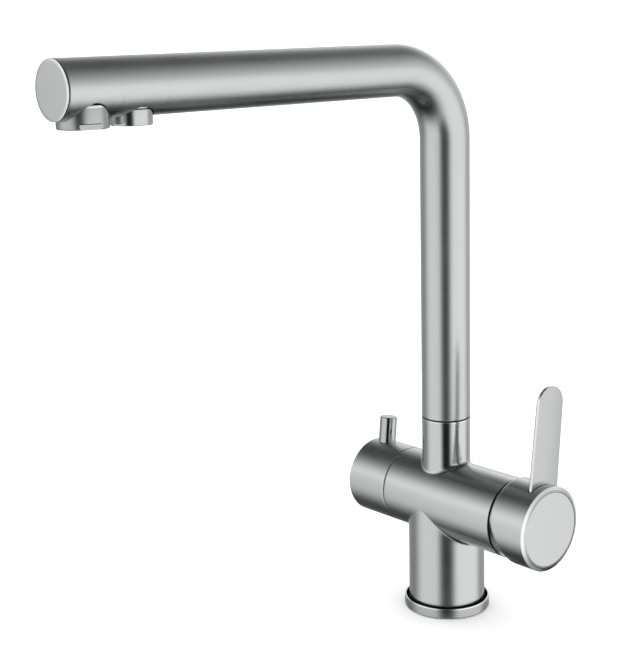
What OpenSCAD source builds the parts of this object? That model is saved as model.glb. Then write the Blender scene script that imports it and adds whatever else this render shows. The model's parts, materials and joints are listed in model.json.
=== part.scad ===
// Three-way kitchen tap: mixed hot and cold water, and filtered water, from one swivelling spout.
// Origin at the fixing hole in the deck plane, +Z up, spout along -Y, mixer handle at +X,
// filtered-water handle at -X. Millimetres.

/* [Spout] */
// Outside diameter of the spout tube and of the neck under it
tube_dia = 28; // [27:0.5:32]
// Wall of the spout tube
tube_wall = 1.5; // [1:0.1:2]
// Height of the level run's centre line above the deck
spout_height = 316; // [280:1:380]
// Reach from the swivel axis to the end face
spout_reach = 250; // [225:1:300]
// Radius of the bend at the centre line
bend_radius = 39.5; // [34:0.5:60]
// Height of the swivel seam above the deck
swivel_height = 116; // [112:1:130]
// Thickness of the sliding washer in the swivel seam
washer_thick = 0.8; // [0.5:0.1:1.5]
// Wall of the neck around the swivel bore
neck_wall = 3.5; // [3:0.1:4]
// Length of the spout's spigot below the seam
spigot_len = 27; // [24:0.5:28]
// Height of the open chamber under the spigot
neck_chamber = 7; // [5:0.5:9]
// Wall of the spigot around its water way
spigot_wall = 3.9; // [3.5:0.1:4.5]
// Length of the sleeve that is brazed into the tube
sleeve_len = 18; // [10:1:30]
// Section of the two swivel seal rings
swivel_ring = 1.6; // [1.4:0.1:1.8]
// Thickness of the end cap's rim
cap_thick = 1.2; // [0.8:0.1:1.5]

/* [Outlets] */
// Diameter of the aerator housing
aerator_dia = 24.2; // [22:0.2:25]
// Distance from the spout's end face to the aerator's axis
aerator_back = 15.2; // [15:0.1:20]
// Width of the wrench flats on the aerator housing
aerator_flats = 22; // [20:0.2:22]
// Height of those flats
flat_height = 2.8; // [2:0.1:4]
// Turn of those flats, from across the spout towards its end
flat_turn = 14; // [0:1:45]
// Wall of the aerator housing
aerator_wall = 1.9; // [1.5:0.1:2.5]
// Distance that both outlets hang below the tube
outlet_drop = 3.8; // [3:0.1:6]
// Distance from the aerator's axis to the filtered outlet's axis
outlet_spacing = 26.2; // [24:0.1:36]
// Diameter of the filtered-water nozzle
nozzle_dia = 19.8; // [18:0.2:21]
// Diameter of the nozzle's threaded stub
nozzle_stub = 13; // [12:0.5:14]
// Outside diameter of the filtered-water tube inside the spout
riser_dia = 6; // [5:0.5:6.5]
// Wall of that tube
riser_wall = 1; // [0.8:0.1:1.2]

/* [Body] */
// Diameter of the upright column
column_dia = 44.5; // [42:0.5:44.5]
// Diameter of the cross barrel and of both handles
barrel_dia = 45; // [45:0.5:50]
// Height of the cross barrel's axis above the deck
barrel_axis = 66.5; // [60:0.5:70]
// Reach of the barrel towards the filtered-water handle
barrel_left = 30; // [28:0.5:36]
// Reach of the barrel towards the mixer handle
barrel_right = 53.5; // [52:0.5:58]
// Gap between the barrel and each handle
seam_gap = 0.5; // [0.4:0.1:0.8]

/* [Base] */
// Diameter of the base ring
ring_dia = 50; // [49:0.5:60]
// Height of the base ring
ring_height = 5.7; // [4:0.1:8]
// Thickness of the ring's foot that grips the column
ring_foot = 2; // [1:0.1:3]
// Width of the open groove between the ring's lip and the column
ring_groove = 1.1; // [0.6:0.1:1.5]
// Mean diameter of the deck seal
seal_dia = 39; // [38.5:0.1:39.5]
// Width of the deck seal
seal_width = 2.6; // [2:0.1:3]
// Depth of the deck seal
seal_depth = 1.5; // [1:0.1:2]

/* [Ports] */
// Bore of the fixing stud's threaded hole
stud_bore = 6.8; // [5:0.1:7]
// Depth of the fixing stud's hole
stud_depth = 14; // [8:1:20]
// Bore of each threaded hose port
hose_bore = 9; // [8:0.1:9.5]
// Depth of each hose port
hose_depth = 14; // [10:1:18]
// Hot and cold ports: distance towards the mixer handle
inlet_x = 9.5; // [9:0.1:10]
// Hot and cold ports and water ways: distance either side of the barrel's axis
inlet_y = 7.6; // [7:0.1:8]
// Filtered-water port: distance towards its handle
filtered_x = 10.5; // [10:0.1:11]
// Thickness of the inlet block above its deepest port
block_roof = 3; // [2:0.5:6]
// Diameter of the drilled hot, cold and mixed water ways
channel_dia = 5.6; // [5:0.1:5.8]
// Hot and cold water ways: distance below the barrel's axis at the cartridge
port_low = 6.5; // [6:0.1:7]
// Mixed water way: distance above the barrel's axis at the cartridge
port_high = 10.5; // [10:0.1:11]

/* [Mixing cartridge] */
// Diameter of the cartridge
cartridge_dia = 35; // [34:0.1:36]
// Distance from the swivel axis to the cartridge's seat
cartridge_seat = 18; // [17:0.1:18.5]
// Length of the cartridge's shell
shell_len = 20; // [19:0.1:21]
// Wall of the cartridge's shell
shell_wall = 2.4; // [2:0.1:2.6]
// Thickness of the cartridge's base
cartridge_base_thick = 3.2; // [3:0.1:4]
// Thickness of each ceramic disc in the cartridge
disc_thick = 3.6; // [3.2:0.1:3.8]
// Diameter of the sliding ceramic disc
sliding_disc_dia = 22.6; // [20:0.1:23]
// Diameter of the stem carrier's collar
carrier_collar_dia = 21; // [18:0.1:23]
// Depth of the stem's pocket in the sliding disc
pocket_depth = 2.8; // [2.4:0.1:2.8]
// Distance from the stem's rounded toe to the pivot pin
stem_arm = 8.2; // [7.5:0.1:8.4]
// Width of the stem's square bar
stem_width = 7; // [6:0.1:7]
// Diameter of the stem's rounded toe
toe_dia = 4; // [3.4:0.1:4.4]
// Diameter of the pivot pin
pivot_dia = 3; // [2.5:0.1:3.2]
// Outside diameter of the clamping nut's thread
nut_dia = 38.6; // [37.5:0.1:39]
// Wall of the clamping nut
nut_wall = 5; // [4:0.1:5.5]
// Length of the clamping nut
nut_len = 9; // [8:0.1:9.5]
// Wall of the dome that covers the nut
dome_wall = 1.2; // [0.8:0.1:1.6]

/* [Mixer handle] */
// Distance from the swivel axis to the handle's end face
mixer_end = 78.5; // [77:0.5:84]
// Step of the handle's skirt outside the barrel
handle_step = 1.4; // [0:0.1:2]
// Lift angle of the lever from shut to fully open
lift_angle = 20; // [10:1:20]
// Turn of the lever from upright, away from the spout
lever_turn = 6; // [0:1:30]
// Wall of a handle's skirt, measured inside the barrel's diameter
skirt_wall = 2.4; // [2:0.1:2.5]
// Distance from the handle's end face to its solid hub's inner face
hub_len = 14; // [13:0.1:14]
// Width of the bright bevel round the end face
bevel = 2.6; // [0.5:0.1:3]
// Depth of the bevel along the handle
bevel_depth = 1.2; // [0.5:0.1:2]
// Thickness of the inlaid end disc
end_disc_thick = 1; // [0.8:0.1:1.4]
// Width of the lever's blade at its root
lever_width = 22.5; // [16:0.5:26]
// Width of the blade at its round tip
lever_tip = 20.5; // [14:0.5:24]
// Thickness of the lever's blade
lever_thick = 2.4; // [2:0.1:3]
// Distance from the handle's end face to the blade's outer face
lever_set = 6.6; // [6:0.1:8]
// Reach of the lever's tip above the barrel's axis
lever_reach = 79; // [60:1:100]
// Depth of the blade's slot in the handle
lever_root = 9; // [5:0.1:10]

/* [Filtered-water valve] */
// Distance from the swivel axis to the valve's seat
valve_seat = 15; // [14.5:0.1:16]
// Diameter of the valve's thread in the barrel
valve_dia = 22; // [20:0.5:24]
// Diameter of the valve's collar, outside the barrel
collar_dia = 27; // [25:0.5:30]
// Thickness of that collar
collar_thick = 4; // [3:0.1:5]
// Diameter of the valve's spindle guide
guide_dia = 14; // [12:0.5:16]
// Length of the spindle guide past the collar
guide_len = 6; // [4:0.1:6.5]
// Diameter of the spindle
spindle_dia = 8; // [7:0.1:8.5]
// Length of the spindle's grip in the handle
spindle_grip = 10; // [8:0.1:12]
// Diameter of the valve's ceramic discs
valve_disc_dia = 15; // [14:0.1:16]
// Thickness of each of these discs
valve_disc_thick = 2.4; // [2:0.1:2.6]
// Thickness of the valve's seat seal
valve_seal_thick = 1.5; // [1:0.1:2]
// Distance of the valve's two water ways from its axis
valve_port_offset = 4; // [3.8:0.1:4.2]
// Diameter of the valve's two water ways
valve_port_dia = 4.4; // [4:0.1:4.6]

/* [Filtered-water handle] */
// Distance from the swivel axis to the handle's end face
filter_end = 60; // [59:0.5:66]
// Depth of the handle's open end
filter_hollow = 12; // [11.5:0.1:12.5]
// Diameter of the pin
pin_dia = 10.4; // [8:0.1:11]
// Distance from the handle's end face to the pin's axis
pin_set = 8.1; // [7:0.1:12]
// Reach of the pin above the barrel's axis
pin_reach = 37.5; // [30:0.5:60]
// Depth of the pin's hole in the handle
pin_root = 12; // [8:0.1:12.5]
// Turn of the pin from upright, away from the spout
pin_turn = 6; // [0:1:30]

/* [Fits and fasteners] */
// Clearance on each side of a fixed fit
fit_gap = 0.05; // [0.02:0.01:0.08]
// Clearance on each side of a running fit
run_gap = 0.08; // [0.05:0.01:0.1]
// Diameter of the three grub screws
grub_dia = 5; // [4:0.1:5.2]
// Length of a grub screw
grub_len = 8; // [6:0.1:9]
// Width of a grub screw's hexagon socket
grub_socket = 2.5; // [2:0.1:2.6]

/* [Hidden] */
$fn = 64;
// Overrun of a cut past the face that it opens
cut = 1;
// A length longer than any piece, for half-space cuts
beyond = 200;

// Inlet block
block_dia = seal_dia - seal_width;
block_top = max(stud_depth, hose_depth) + block_roof;

// Spout and swivel
tube_r = tube_dia / 2;
tube_bore = tube_dia - 2 * tube_wall;
neck_top = swivel_height - washer_thick;
spout_foot = swivel_height + fit_gap;
swivel_bore = tube_dia - 2 * neck_wall;
spigot_dia = swivel_bore - 2 * run_gap;
spigot_end = swivel_height - spigot_len;
neck_floor = spigot_end - neck_chamber;
spigot_bore = spigot_dia - 2 * spigot_wall;
ring_side_play = 0.4;
ring_groove_wide = swivel_ring + 2 * ring_side_play;
ring_groove_dia = spigot_dia - 2 * swivel_ring;
upper_ring_z = swivel_height - spigot_len / 4;
lower_ring_z = swivel_height - spigot_len * 3 / 4;
stop_groove_z = swivel_height - spigot_len / 2;
stop_groove_deep = 1.8;
stop_tip_dia = grub_dia / 2;
stop_play = 0.3;
cap_plug = 1.3;

// Water ways in the body
mixed_z = barrel_axis + port_high;
channel_inset = 0.2;
mixed_x = (swivel_bore - channel_dia) / 2 - channel_inset;
inlet_z = barrel_axis - port_low;
riser_socket = riser_dia + 2 * run_gap;
riser_root = 8.5;
riser_foot = neck_floor - riser_root;
riser_ring = 0.8;
riser_ring_deep = 2;

// Outlets
aerator_y = -(spout_reach - aerator_back);
nozzle_y = aerator_y + outlet_spacing;
outlet_z = spout_height - tube_r - outlet_drop;
aerator_top = saddle_z(aerator_dia) - fit_gap;
aerator_bore = aerator_dia - 2 * aerator_wall;
aerator_lip = 1.8;
aerator_lip_width = 2;
aerator_lip_bore = aerator_bore - 2 * aerator_lip_width;
aerator_seal_thick = 1.8;
insert_recess = 0.8;
insert_hole = 1.7;
insert_pitch = 3.1;
nozzle_top = saddle_z(nozzle_dia) - fit_gap;
boss_cover = 2;
boss_top = spout_height + riser_dia / 2 + boss_cover;
stub_wall = 2.5;
nozzle_bore = nozzle_stub - 2 * stub_wall;
stub_len = 5;
nozzle_rim = 2.5;
nozzle_face_bore = nozzle_dia - 2 * nozzle_rim;
nozzle_face_deep = 3;
nozzle_hole = 1.8;

// Mixing cartridge, along the barrel's axis
slot_play = 0.4;
seat_seal_thick = 0.8;
base_x = cartridge_seat + seat_seal_thick;
shell_x = base_x + cartridge_base_thick;
shell_end = shell_x + shell_len;
shell_cap = 2;
shell_bore = cartridge_dia - 2 * shell_wall;
fixed_disc_x = shell_x;
sliding_disc_x = fixed_disc_x + disc_thick + run_gap;
carrier_x = sliding_disc_x + disc_thick + run_gap;
pocket_dia = toe_dia + 2 * slot_play;
toe_play = 0.3;
toe_x = sliding_disc_x + disc_thick - pocket_depth + toe_dia / 2 + toe_play;
toe_len = sqrt(pow(pocket_dia, 2) - pow(toe_dia, 2)) - 2 * run_gap;
toe_neck = 3.2;
pivot_x = toe_x + stem_arm;
carrier_collar_len = 3;
nut_end = shell_end + nut_len;
nut_bore = nut_dia - 2 * nut_wall;
nut_notch = 4;
nut_notch_deep = 3;
seat_seal_wall = 1.4;

// Mixer handle, about the barrel's axis and the pivot pin
skirt_x = barrel_right + seam_gap;
handle_dia = barrel_dia + 2 * handle_step;
skirt_bore = barrel_dia - 2 * skirt_wall;
hub_x = mixer_end - hub_len;
dome_play = 0.6;
dome_r = norm([skirt_x - pivot_x, skirt_bore / 2]) - dome_play;
dome_mouth = 2 * (norm([stem_drop(pivot_x + dome_r), stem_width / 2]) + slot_play);
stem_grip = 7;
stem_end = hub_x + stem_grip;
end_rim = 0.5;
end_disc_dia = handle_dia - 2 * (bevel + end_rim);
disc_recess = 0.2;
lever_x = mixer_end - lever_set;
grub_inset = 1.2;
handle_grub_x = hub_x + grub_dia / 2 + grub_inset;

// Filtered-water valve and handle, along the barrel's axis
valve_seal_x = -valve_seat - valve_seal_thick;
valve_fixed_x = valve_seal_x - valve_disc_thick;
valve_moving_x = valve_fixed_x - run_gap - valve_disc_thick;
valve_chamber_dia = valve_disc_dia + 2 * run_gap;
valve_collar_x = -barrel_left - collar_thick;
guide_x = valve_collar_x - guide_len;
spindle_ring = 1.2;
filter_skirt_x = -(barrel_left + seam_gap);
filter_hub_x = filter_skirt_x - filter_hollow;
filter_bore = barrel_dia - 2 * skirt_wall;
spindle_x = filter_hub_x - spindle_grip;
pin_x = -(filter_end - pin_set);
filter_grub_x = spindle_x + spindle_grip / 2;
filter_bevel = 0.6;

// Height at which an upright round boss on the spout's centre line leaves the tube's skin
function saddle_z(dia) = spout_height - sqrt(pow(tube_r, 2) - pow(dia / 2, 2));

// Depth of the fully lifted stem's underside below the barrel's axis, at a distance along that axis
function stem_drop(x) = (x - pivot_x) * tan(lift_angle) + stem_width / 2 / cos(lift_angle);

// Round bar along X
module rod_x(from, to, dia)
    translate([from, 0, 0])
    rotate([0, 90, 0])
    cylinder(h = to - from, d = dia);

// Hollow round bar along X
module ring_x(from, to, outer, inner)
    difference() {
        rod_x(from, to, outer);
        rod_x(from - cut, to + cut, inner);
    }

// Upright ring
module ring_z(from, to, outer, inner)
    translate([0, 0, from])
    linear_extrude(to - from)
    annulus(outer, inner);

module annulus(outer, inner)
    difference() {
        circle(d = outer);
        circle(d = inner);
    }

// Round section ring about Z
module seal_ring(mean_dia, section)
    rotate_extrude()
    translate([mean_dia / 2, 0])
    circle(d = section);

// Places children on the barrel's axis, turned back from upright
module on_barrel(turn = 0)
    translate([0, 0, barrel_axis])
    rotate([-turn, 0, 0])
    children();

// Places children on the spout's level run, upright under its centre line
module under_spout(y)
    translate([0, y, 0])
    children();

// Grub screw along +Z: its point at the origin, its socket at the top
module grub_screw(len)
    difference() {
        cylinder(h = len, d = grub_dia);
        translate([0, 0, len / 2])
            cylinder(h = len, d = grub_socket / cos(30), $fn = 6);
    }

// Tube along the spout's centre line, from a height on the swivel axis to a distance along -Y
module spout_run(from_z, to_y, outer, inner) {
    rise = spout_height - bend_radius - from_z;
    translate([0, 0, from_z])
        linear_extrude(rise)
        annulus(outer, inner);
    translate([0, -bend_radius, spout_height - bend_radius])
        rotate([90, 0, 90])
        rotate_extrude(angle = 90)
        translate([bend_radius, 0])
        annulus(outer, inner);
    translate([0, -bend_radius, spout_height])
        rotate([90, 0, 0])
        linear_extrude(to_y - bend_radius)
        annulus(outer, inner);
}

// Hole in the middle and two rings of holes round it, through a disc that lies level
module spray_holes(hole, pitch, rows, deep) {
    translate([0, 0, -cut])
        cylinder(h = deep + 2 * cut, d = hole);
    for (row = [1:rows], i = [0:6 * row - 1])
        rotate([0, 0, i * 60 / row])
        translate([row * pitch, 0, -cut])
        cylinder(h = deep + 2 * cut, d = hole);
}

// The cartridge's three water ways: two inlets below the axis, one outlet above it
module cartridge_ports(from, to, dia) {
    for (side = [-1, 1])
        translate([0, side * inlet_y, -port_low])
        rod_x(from, to, dia);
    translate([0, 0, port_high])
        rod_x(from, to, dia);
}

// The valve's two water ways, below and above its axis
module valve_ports(from, to)
    for (side = [-1, 1])
        translate([0, 0, side * valve_port_offset])
        rod_x(from, to, valve_port_dia);

module tap_body()
    color("silver")
    difference() {
        union() {
            cylinder(h = barrel_axis, d = column_dia);
            on_barrel() rod_x(-barrel_left, barrel_right, barrel_dia);
        }
        on_barrel() {
            rod_x(cartridge_seat, barrel_right + cut, cartridge_dia + 2 * fit_gap);
            rod_x(shell_end, barrel_right + cut, nut_dia + 2 * fit_gap);
            rod_x(-barrel_left - cut, -valve_seat, valve_dia + 2 * fit_gap);
        }
        translate([0, 0, neck_floor])
            cylinder(h = neck_top - neck_floor, d = tube_dia + 2 * fit_gap);
        translate([0, 0, -cut])
            cylinder(h = block_top + cut, d = block_dia + 2 * fit_gap);
        ring_z(-cut, seal_depth, seal_dia + seal_width, block_dia);
        mixed_cuts();
        inlet_cuts();
        filtered_cuts();
    }

// Upright neck that the spout turns on, with the hole of the spout's stop screw
module swivel_neck()
    color("silver")
    difference() {
        ring_z(neck_floor, neck_top, tube_dia, swivel_bore);
        translate([0, 0, stop_groove_z])
            rotate([-90, 0, 0])
            cylinder(h = tube_r + cut, d = grub_dia + 2 * fit_gap);
    }

// Block in the column's foot that holds the hose ports and the fixing stud
module inlet_block()
    color("goldenrod")
    difference() {
        cylinder(h = block_top, d = block_dia);
        inlet_cuts();
        filtered_cuts();
    }

// Mixed water way from the cartridge into the neck
module mixed_cuts() {
    translate([0, 0, mixed_z])
        rod_x(mixed_x, cartridge_seat + cut, channel_dia);
    translate([mixed_x, 0, mixed_z])
        cylinder(h = max(neck_floor - mixed_z, 0) + cut, d = channel_dia);
}

// Fixing hole, and hot and cold ports with their ways to the cartridge
module inlet_cuts() {
    translate([0, 0, -cut])
        cylinder(h = stud_depth + cut, d = stud_bore);
    for (side = [-1, 1])
        translate([inlet_x, side * inlet_y, 0]) {
            translate([0, 0, -cut]) cylinder(h = hose_depth + cut, d = hose_bore);
            cylinder(h = inlet_z + channel_dia / 2, d = channel_dia);
            translate([0, 0, inlet_z]) rod_x(0, cartridge_seat - inlet_x + cut, channel_dia);
        }
}

// Filtered-water port, its way to the valve, and the valve's way to the riser
module filtered_cuts() {
    translate([-filtered_x, 0, -cut])
        cylinder(h = hose_depth + cut, d = hose_bore);
    translate([-filtered_x, 0, 0])
        cylinder(h = barrel_axis - valve_port_offset, d = valve_port_dia);
    translate([0, 0, barrel_axis - valve_port_offset])
        rod_x(-valve_seat - cut, -filtered_x, valve_port_dia);
    translate([0, 0, barrel_axis + valve_port_offset]) {
        rod_x(-valve_seat - cut, 0, valve_port_dia);
        cylinder(h = neck_floor - barrel_axis, d = riser_dia - 2 * riser_wall);
    }
    translate([0, 0, riser_foot])
        cylinder(h = neck_floor - riser_foot + cut, d = riser_socket);
    translate([0, 0, neck_floor - riser_ring_deep])
        cylinder(h = riser_ring_deep + cut, d = riser_socket + 2 * riser_ring);
}

module base_ring()
    color("silver")
    difference() {
        cylinder(h = ring_height, d = ring_dia);
        translate([0, 0, -cut])
            cylinder(h = ring_height + 2 * cut, d = column_dia + 2 * fit_gap);
        translate([0, 0, ring_foot])
            cylinder(h = ring_height, d = column_dia + 2 * ring_groove);
    }

module base_seal()
    color("dimgray")
    ring_z(0, seal_depth, seal_dia + seal_width - 2 * fit_gap, seal_dia - seal_width + 2 * fit_gap);

module swivel_washer()
    color("dimgray")
    ring_z(neck_top, swivel_height, tube_dia - 2 * fit_gap, swivel_bore);

module spout_stop_screw() {
    tip_r = spigot_dia / 2 - stop_groove_deep + stop_play;
    shoulder_r = swivel_bore / 2 + stop_play;
    color("gray")
        translate([0, 0, stop_groove_z])
        rotate([-90, 0, 0]) {
            translate([0, 0, tip_r])
                cylinder(h = shoulder_r - tip_r, d = stop_tip_dia);
            translate([0, 0, shoulder_r])
                grub_screw(neck_wall - 2 * stop_play);
        }
}

module riser_seal()
    color("dimgray")
    ring_z(neck_floor - riser_ring_deep, neck_floor,
           riser_socket + 2 * riser_ring - 2 * fit_gap, riser_socket);

module spout_tube()
    color("silver")
    difference() {
        spout_run(spout_foot, spout_reach - cap_thick, tube_dia, tube_bore);
        under_spout(aerator_y)
            translate([0, 0, outlet_z])
            cylinder(h = spout_height - outlet_z, d = aerator_dia + 2 * fit_gap);
        under_spout(nozzle_y)
            translate([0, 0, outlet_z])
            cylinder(h = spout_height - outlet_z, d = nozzle_dia + 2 * fit_gap);
    }

module spout_sleeve()
    color("goldenrod")
    difference() {
        union() {
            translate([0, 0, spigot_end])
                cylinder(h = spigot_len + sleeve_len, d = spigot_dia);
            translate([0, 0, spout_foot])
                cylinder(h = sleeve_len, d = tube_bore - 2 * fit_gap);
        }
        translate([0, 0, spigot_end - cut])
            cylinder(h = spigot_len + sleeve_len + 2 * cut, d = spigot_bore);
        for (z = [lower_ring_z, upper_ring_z])
            ring_z(z - ring_groove_wide / 2, z + ring_groove_wide / 2, tube_dia, ring_groove_dia);
        ring_z(stop_groove_z - stop_tip_dia / 2 - stop_play, stop_groove_z + stop_tip_dia / 2 + stop_play,
               tube_dia, spigot_dia - 2 * stop_groove_deep);
    }

module swivel_seals()
    color("dimgray")
    for (z = [lower_ring_z, upper_ring_z])
        translate([0, 0, z])
        seal_ring(spigot_dia - swivel_ring, swivel_ring - fit_gap);

module spout_end_cap()
    color("silver")
    translate([0, -spout_reach, spout_height])
    rotate([-90, 0, 0]) {
        cylinder(h = cap_thick, d = tube_dia);
        cylinder(h = cap_thick + cap_plug, d = tube_bore - 2 * fit_gap);
    }

module filtered_riser()
    color("white")
    spout_run(riser_foot, -nozzle_y - nozzle_bore / 2, riser_dia, riser_dia - 2 * riser_wall);

module aerator_housing()
    color("silver")
    under_spout(aerator_y)
    difference() {
        translate([0, 0, outlet_z])
            cylinder(h = aerator_top - outlet_z, d = aerator_dia);
        translate([0, 0, outlet_z - cut])
            cylinder(h = aerator_top - aerator_lip - outlet_z + cut, d = aerator_bore);
        translate([0, 0, outlet_z])
            cylinder(h = aerator_top - outlet_z + cut, d = aerator_lip_bore);
        for (turn = [0, 180])
            rotate([0, 0, turn - flat_turn])
            translate([(aerator_flats + tube_r) / 2, 0, outlet_z])
            cube([tube_r, tube_dia, 2 * flat_height], center = true);
    }

module aerator_insert() {
    deep = aerator_top - aerator_lip - aerator_seal_thick - outlet_z - insert_recess;
    color("gainsboro")
        under_spout(aerator_y)
        translate([0, 0, outlet_z + insert_recess])
        difference() {
            cylinder(h = deep, d = aerator_bore - 2 * fit_gap);
            spray_holes(insert_hole, insert_pitch, 2, deep);
        }
}

module aerator_seal()
    color("dimgray")
    under_spout(aerator_y)
    ring_z(aerator_top - aerator_lip - aerator_seal_thick, aerator_top - aerator_lip,
           aerator_bore - 2 * fit_gap, aerator_lip_bore);

module nozzle_boss()
    color("goldenrod")
    under_spout(nozzle_y)
    difference() {
        translate([0, 0, nozzle_top])
            cylinder(h = boss_top - nozzle_top, d = nozzle_dia);
        translate([0, 0, nozzle_top - cut])
            cylinder(h = stub_len + cut, d = nozzle_stub + 2 * fit_gap);
        translate([0, 0, nozzle_top])
            cylinder(h = spout_height - nozzle_top, d = nozzle_bore);
        translate([0, 0, spout_height])
            rotate([-90, 0, 0])
            cylinder(h = nozzle_dia, d = riser_dia + 2 * fit_gap);
    }

module filtered_nozzle()
    color("silver")
    under_spout(nozzle_y)
    difference() {
        union() {
            translate([0, 0, outlet_z])
                cylinder(h = nozzle_top - outlet_z, d = nozzle_dia);
            translate([0, 0, outlet_z])
                cylinder(h = nozzle_top - outlet_z + stub_len, d = nozzle_stub);
        }
        translate([0, 0, outlet_z - cut])
            cylinder(h = nozzle_face_deep + cut, d = nozzle_face_bore);
        translate([0, 0, outlet_z])
            cylinder(h = nozzle_top + stub_len, d = nozzle_bore);
    }

module nozzle_insert() {
    deep = nozzle_face_deep - insert_recess;
    color("gainsboro")
        under_spout(nozzle_y)
        translate([0, 0, outlet_z + insert_recess])
        difference() {
            cylinder(h = deep, d = nozzle_face_bore - 2 * fit_gap);
            spray_holes(nozzle_hole, insert_pitch, 1, deep);
        }
}

module cartridge_base()
    color("whitesmoke")
    on_barrel()
    difference() {
        rod_x(base_x, shell_x, cartridge_dia);
        cartridge_ports(base_x - cut, shell_x + cut, channel_dia);
    }

module cartridge_seals()
    color("dimgray")
    on_barrel()
    difference() {
        cartridge_ports(cartridge_seat, base_x, channel_dia + 2 * seat_seal_wall);
        cartridge_ports(cartridge_seat - cut, base_x + cut, channel_dia);
    }

module cartridge_shell()
    color("whitesmoke")
    on_barrel()
    difference() {
        rod_x(shell_x, shell_end, cartridge_dia);
        rod_x(shell_x - cut, shell_end - shell_cap, shell_bore);
        rod_x(shell_x, shell_end + cut, carrier_collar_dia + 2 * run_gap);
    }

module fixed_disc()
    color("white")
    on_barrel()
    difference() {
        rod_x(fixed_disc_x, fixed_disc_x + disc_thick, shell_bore - 2 * fit_gap);
        cartridge_ports(fixed_disc_x - cut, fixed_disc_x + disc_thick + cut, channel_dia);
    }

module sliding_disc()
    color("lightgray")
    on_barrel(lever_turn)
    difference() {
        rod_x(sliding_disc_x, sliding_disc_x + disc_thick, sliding_disc_dia);
        rod_x(sliding_disc_x + disc_thick - pocket_depth, carrier_x + cut, pocket_dia);
    }

module stem_carrier() {
    slot_high = stem_drop(shell_end + carrier_collar_len) + slot_play;
    slot_wide = stem_width + 2 * run_gap;
    flange_end = shell_end - shell_cap - run_gap;
    color("whitesmoke")
        on_barrel(lever_turn)
        difference() {
            union() {
                rod_x(carrier_x, flange_end, shell_bore - 2 * run_gap);
                rod_x(carrier_x, shell_end + carrier_collar_len, carrier_collar_dia);
            }
            translate([carrier_x - cut, -slot_wide / 2, -slot_high])
                cube([beyond, slot_wide, 2 * slot_high]);
            cross_rod(pivot_x, pivot_dia + 2 * fit_gap, shell_bore);
        }
}

// Round bar across the barrel's axis
module cross_rod(x, dia, len)
    translate([x, 0, 0])
    rotate([90, 0, 0])
    cylinder(h = len, d = dia, center = true);

module pivot_pin()
    color("gray")
    on_barrel(lever_turn)
    cross_rod(pivot_x, pivot_dia, shell_bore - 4 * shell_wall);

module cartridge_stem()
    color("silver")
    on_barrel(lever_turn)
    difference() {
        union() {
            translate([pivot_x - stem_width / 2, -stem_width / 2, -stem_width / 2])
                cube([stem_end - pivot_x + stem_width / 2, stem_width, stem_width]);
            translate([toe_x, -toe_len / 2, -toe_neck / 2])
                cube([stem_arm, toe_len, toe_neck]);
            cross_rod(toe_x, toe_dia, toe_len);
        }
        cross_rod(pivot_x, pivot_dia + 2 * run_gap, beyond);
    }

module cartridge_nut()
    color("goldenrod")
    on_barrel()
    difference() {
        ring_x(shell_end, nut_end, nut_dia, nut_bore);
        for (i = [0:5])
            rotate([i * 60, 0, 0])
            translate([nut_end, 0, nut_bore / 2])
            cube([2 * nut_notch_deep, nut_notch, nut_notch], center = true);
    }

module nut_dome() {
    rim_r = nut_dia / 2;
    mouth_r = dome_mouth / 2;
    skirt_top = sqrt(pow(dome_r, 2) - pow(rim_r, 2));
    color("silver")
        on_barrel()
        translate([pivot_x, 0, 0])
        rotate([0, 90, 0])
        rotate_extrude() {
            intersection() {
                annulus(2 * dome_r, 2 * (dome_r - dome_wall));
                translate([mouth_r, nut_end - pivot_x]) square([rim_r - mouth_r, beyond]);
            }
            translate([rim_r - dome_wall, nut_end - pivot_x])
                square([dome_wall, skirt_top - nut_end + pivot_x]);
        }
}

module mixer_handle()
    color("silver")
    on_barrel(lever_turn)
    difference() {
        union() {
            rod_x(skirt_x, mixer_end - bevel_depth, handle_dia);
            translate([mixer_end - bevel_depth, 0, 0])
                rotate([0, 90, 0])
                cylinder(h = bevel_depth, d1 = handle_dia, d2 = handle_dia - 2 * bevel);
        }
        rod_x(skirt_x - cut, hub_x, skirt_bore);
        rod_x(mixer_end - end_disc_thick - disc_recess, mixer_end + cut, end_disc_dia + 2 * fit_gap);
        // Relief under the skirt, which meets the barrel's end when the lever is fully lifted
        translate([pivot_x, 0, 0])
            rotate([0, -lift_angle, 0])
            translate([skirt_x - pivot_x - beyond, -beyond / 2, -beyond / 2])
            cube(beyond);
        stem_bar = stem_width + 2 * fit_gap;
        translate([hub_x - cut, -stem_bar / 2, -stem_bar / 2])
            cube([stem_end - hub_x + cut + fit_gap, stem_bar, stem_bar]);
        lever_blade(fit_gap);
        translate([handle_grub_x, 0, -handle_dia])
            cylinder(h = handle_dia, d = grub_dia + 2 * fit_gap);
    }

// The lever's blade, grown by a clearance on every side: tapered sides that run into a round tip
module lever_blade(grow) {
    root_z = handle_dia / 2 - lever_root;
    tip_r = lever_tip / 2 + grow;
    tip_z = lever_reach - lever_tip / 2;
    root_r = lever_width / 2 + grow;
    slant = atan((root_r - tip_r) / (tip_z - root_z));
    touch = [tip_r * cos(slant), tip_z + tip_r * sin(slant)];
    translate([lever_x - lever_thick - grow, 0, 0])
        rotate([90, 0, 90])
        linear_extrude(lever_thick + 2 * grow) {
            polygon([
                [-root_r, root_z - grow], [root_r, root_z - grow], touch, [-touch.x, touch.y]
            ]);
            translate([0, tip_z])
                circle(r = tip_r);
        }
}

module mixer_lever()
    color("silver")
    on_barrel(lever_turn)
    lever_blade(0);

module mixer_end_disc()
    color("gainsboro")
    on_barrel(lever_turn)
    rod_x(mixer_end - end_disc_thick - disc_recess, mixer_end - disc_recess, end_disc_dia);

module mixer_grub_screw()
    color("gray")
    on_barrel(lever_turn)
    translate([handle_grub_x, 0, -stem_width / 2])
    rotate([180, 0, 0])
    grub_screw(grub_len);

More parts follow.
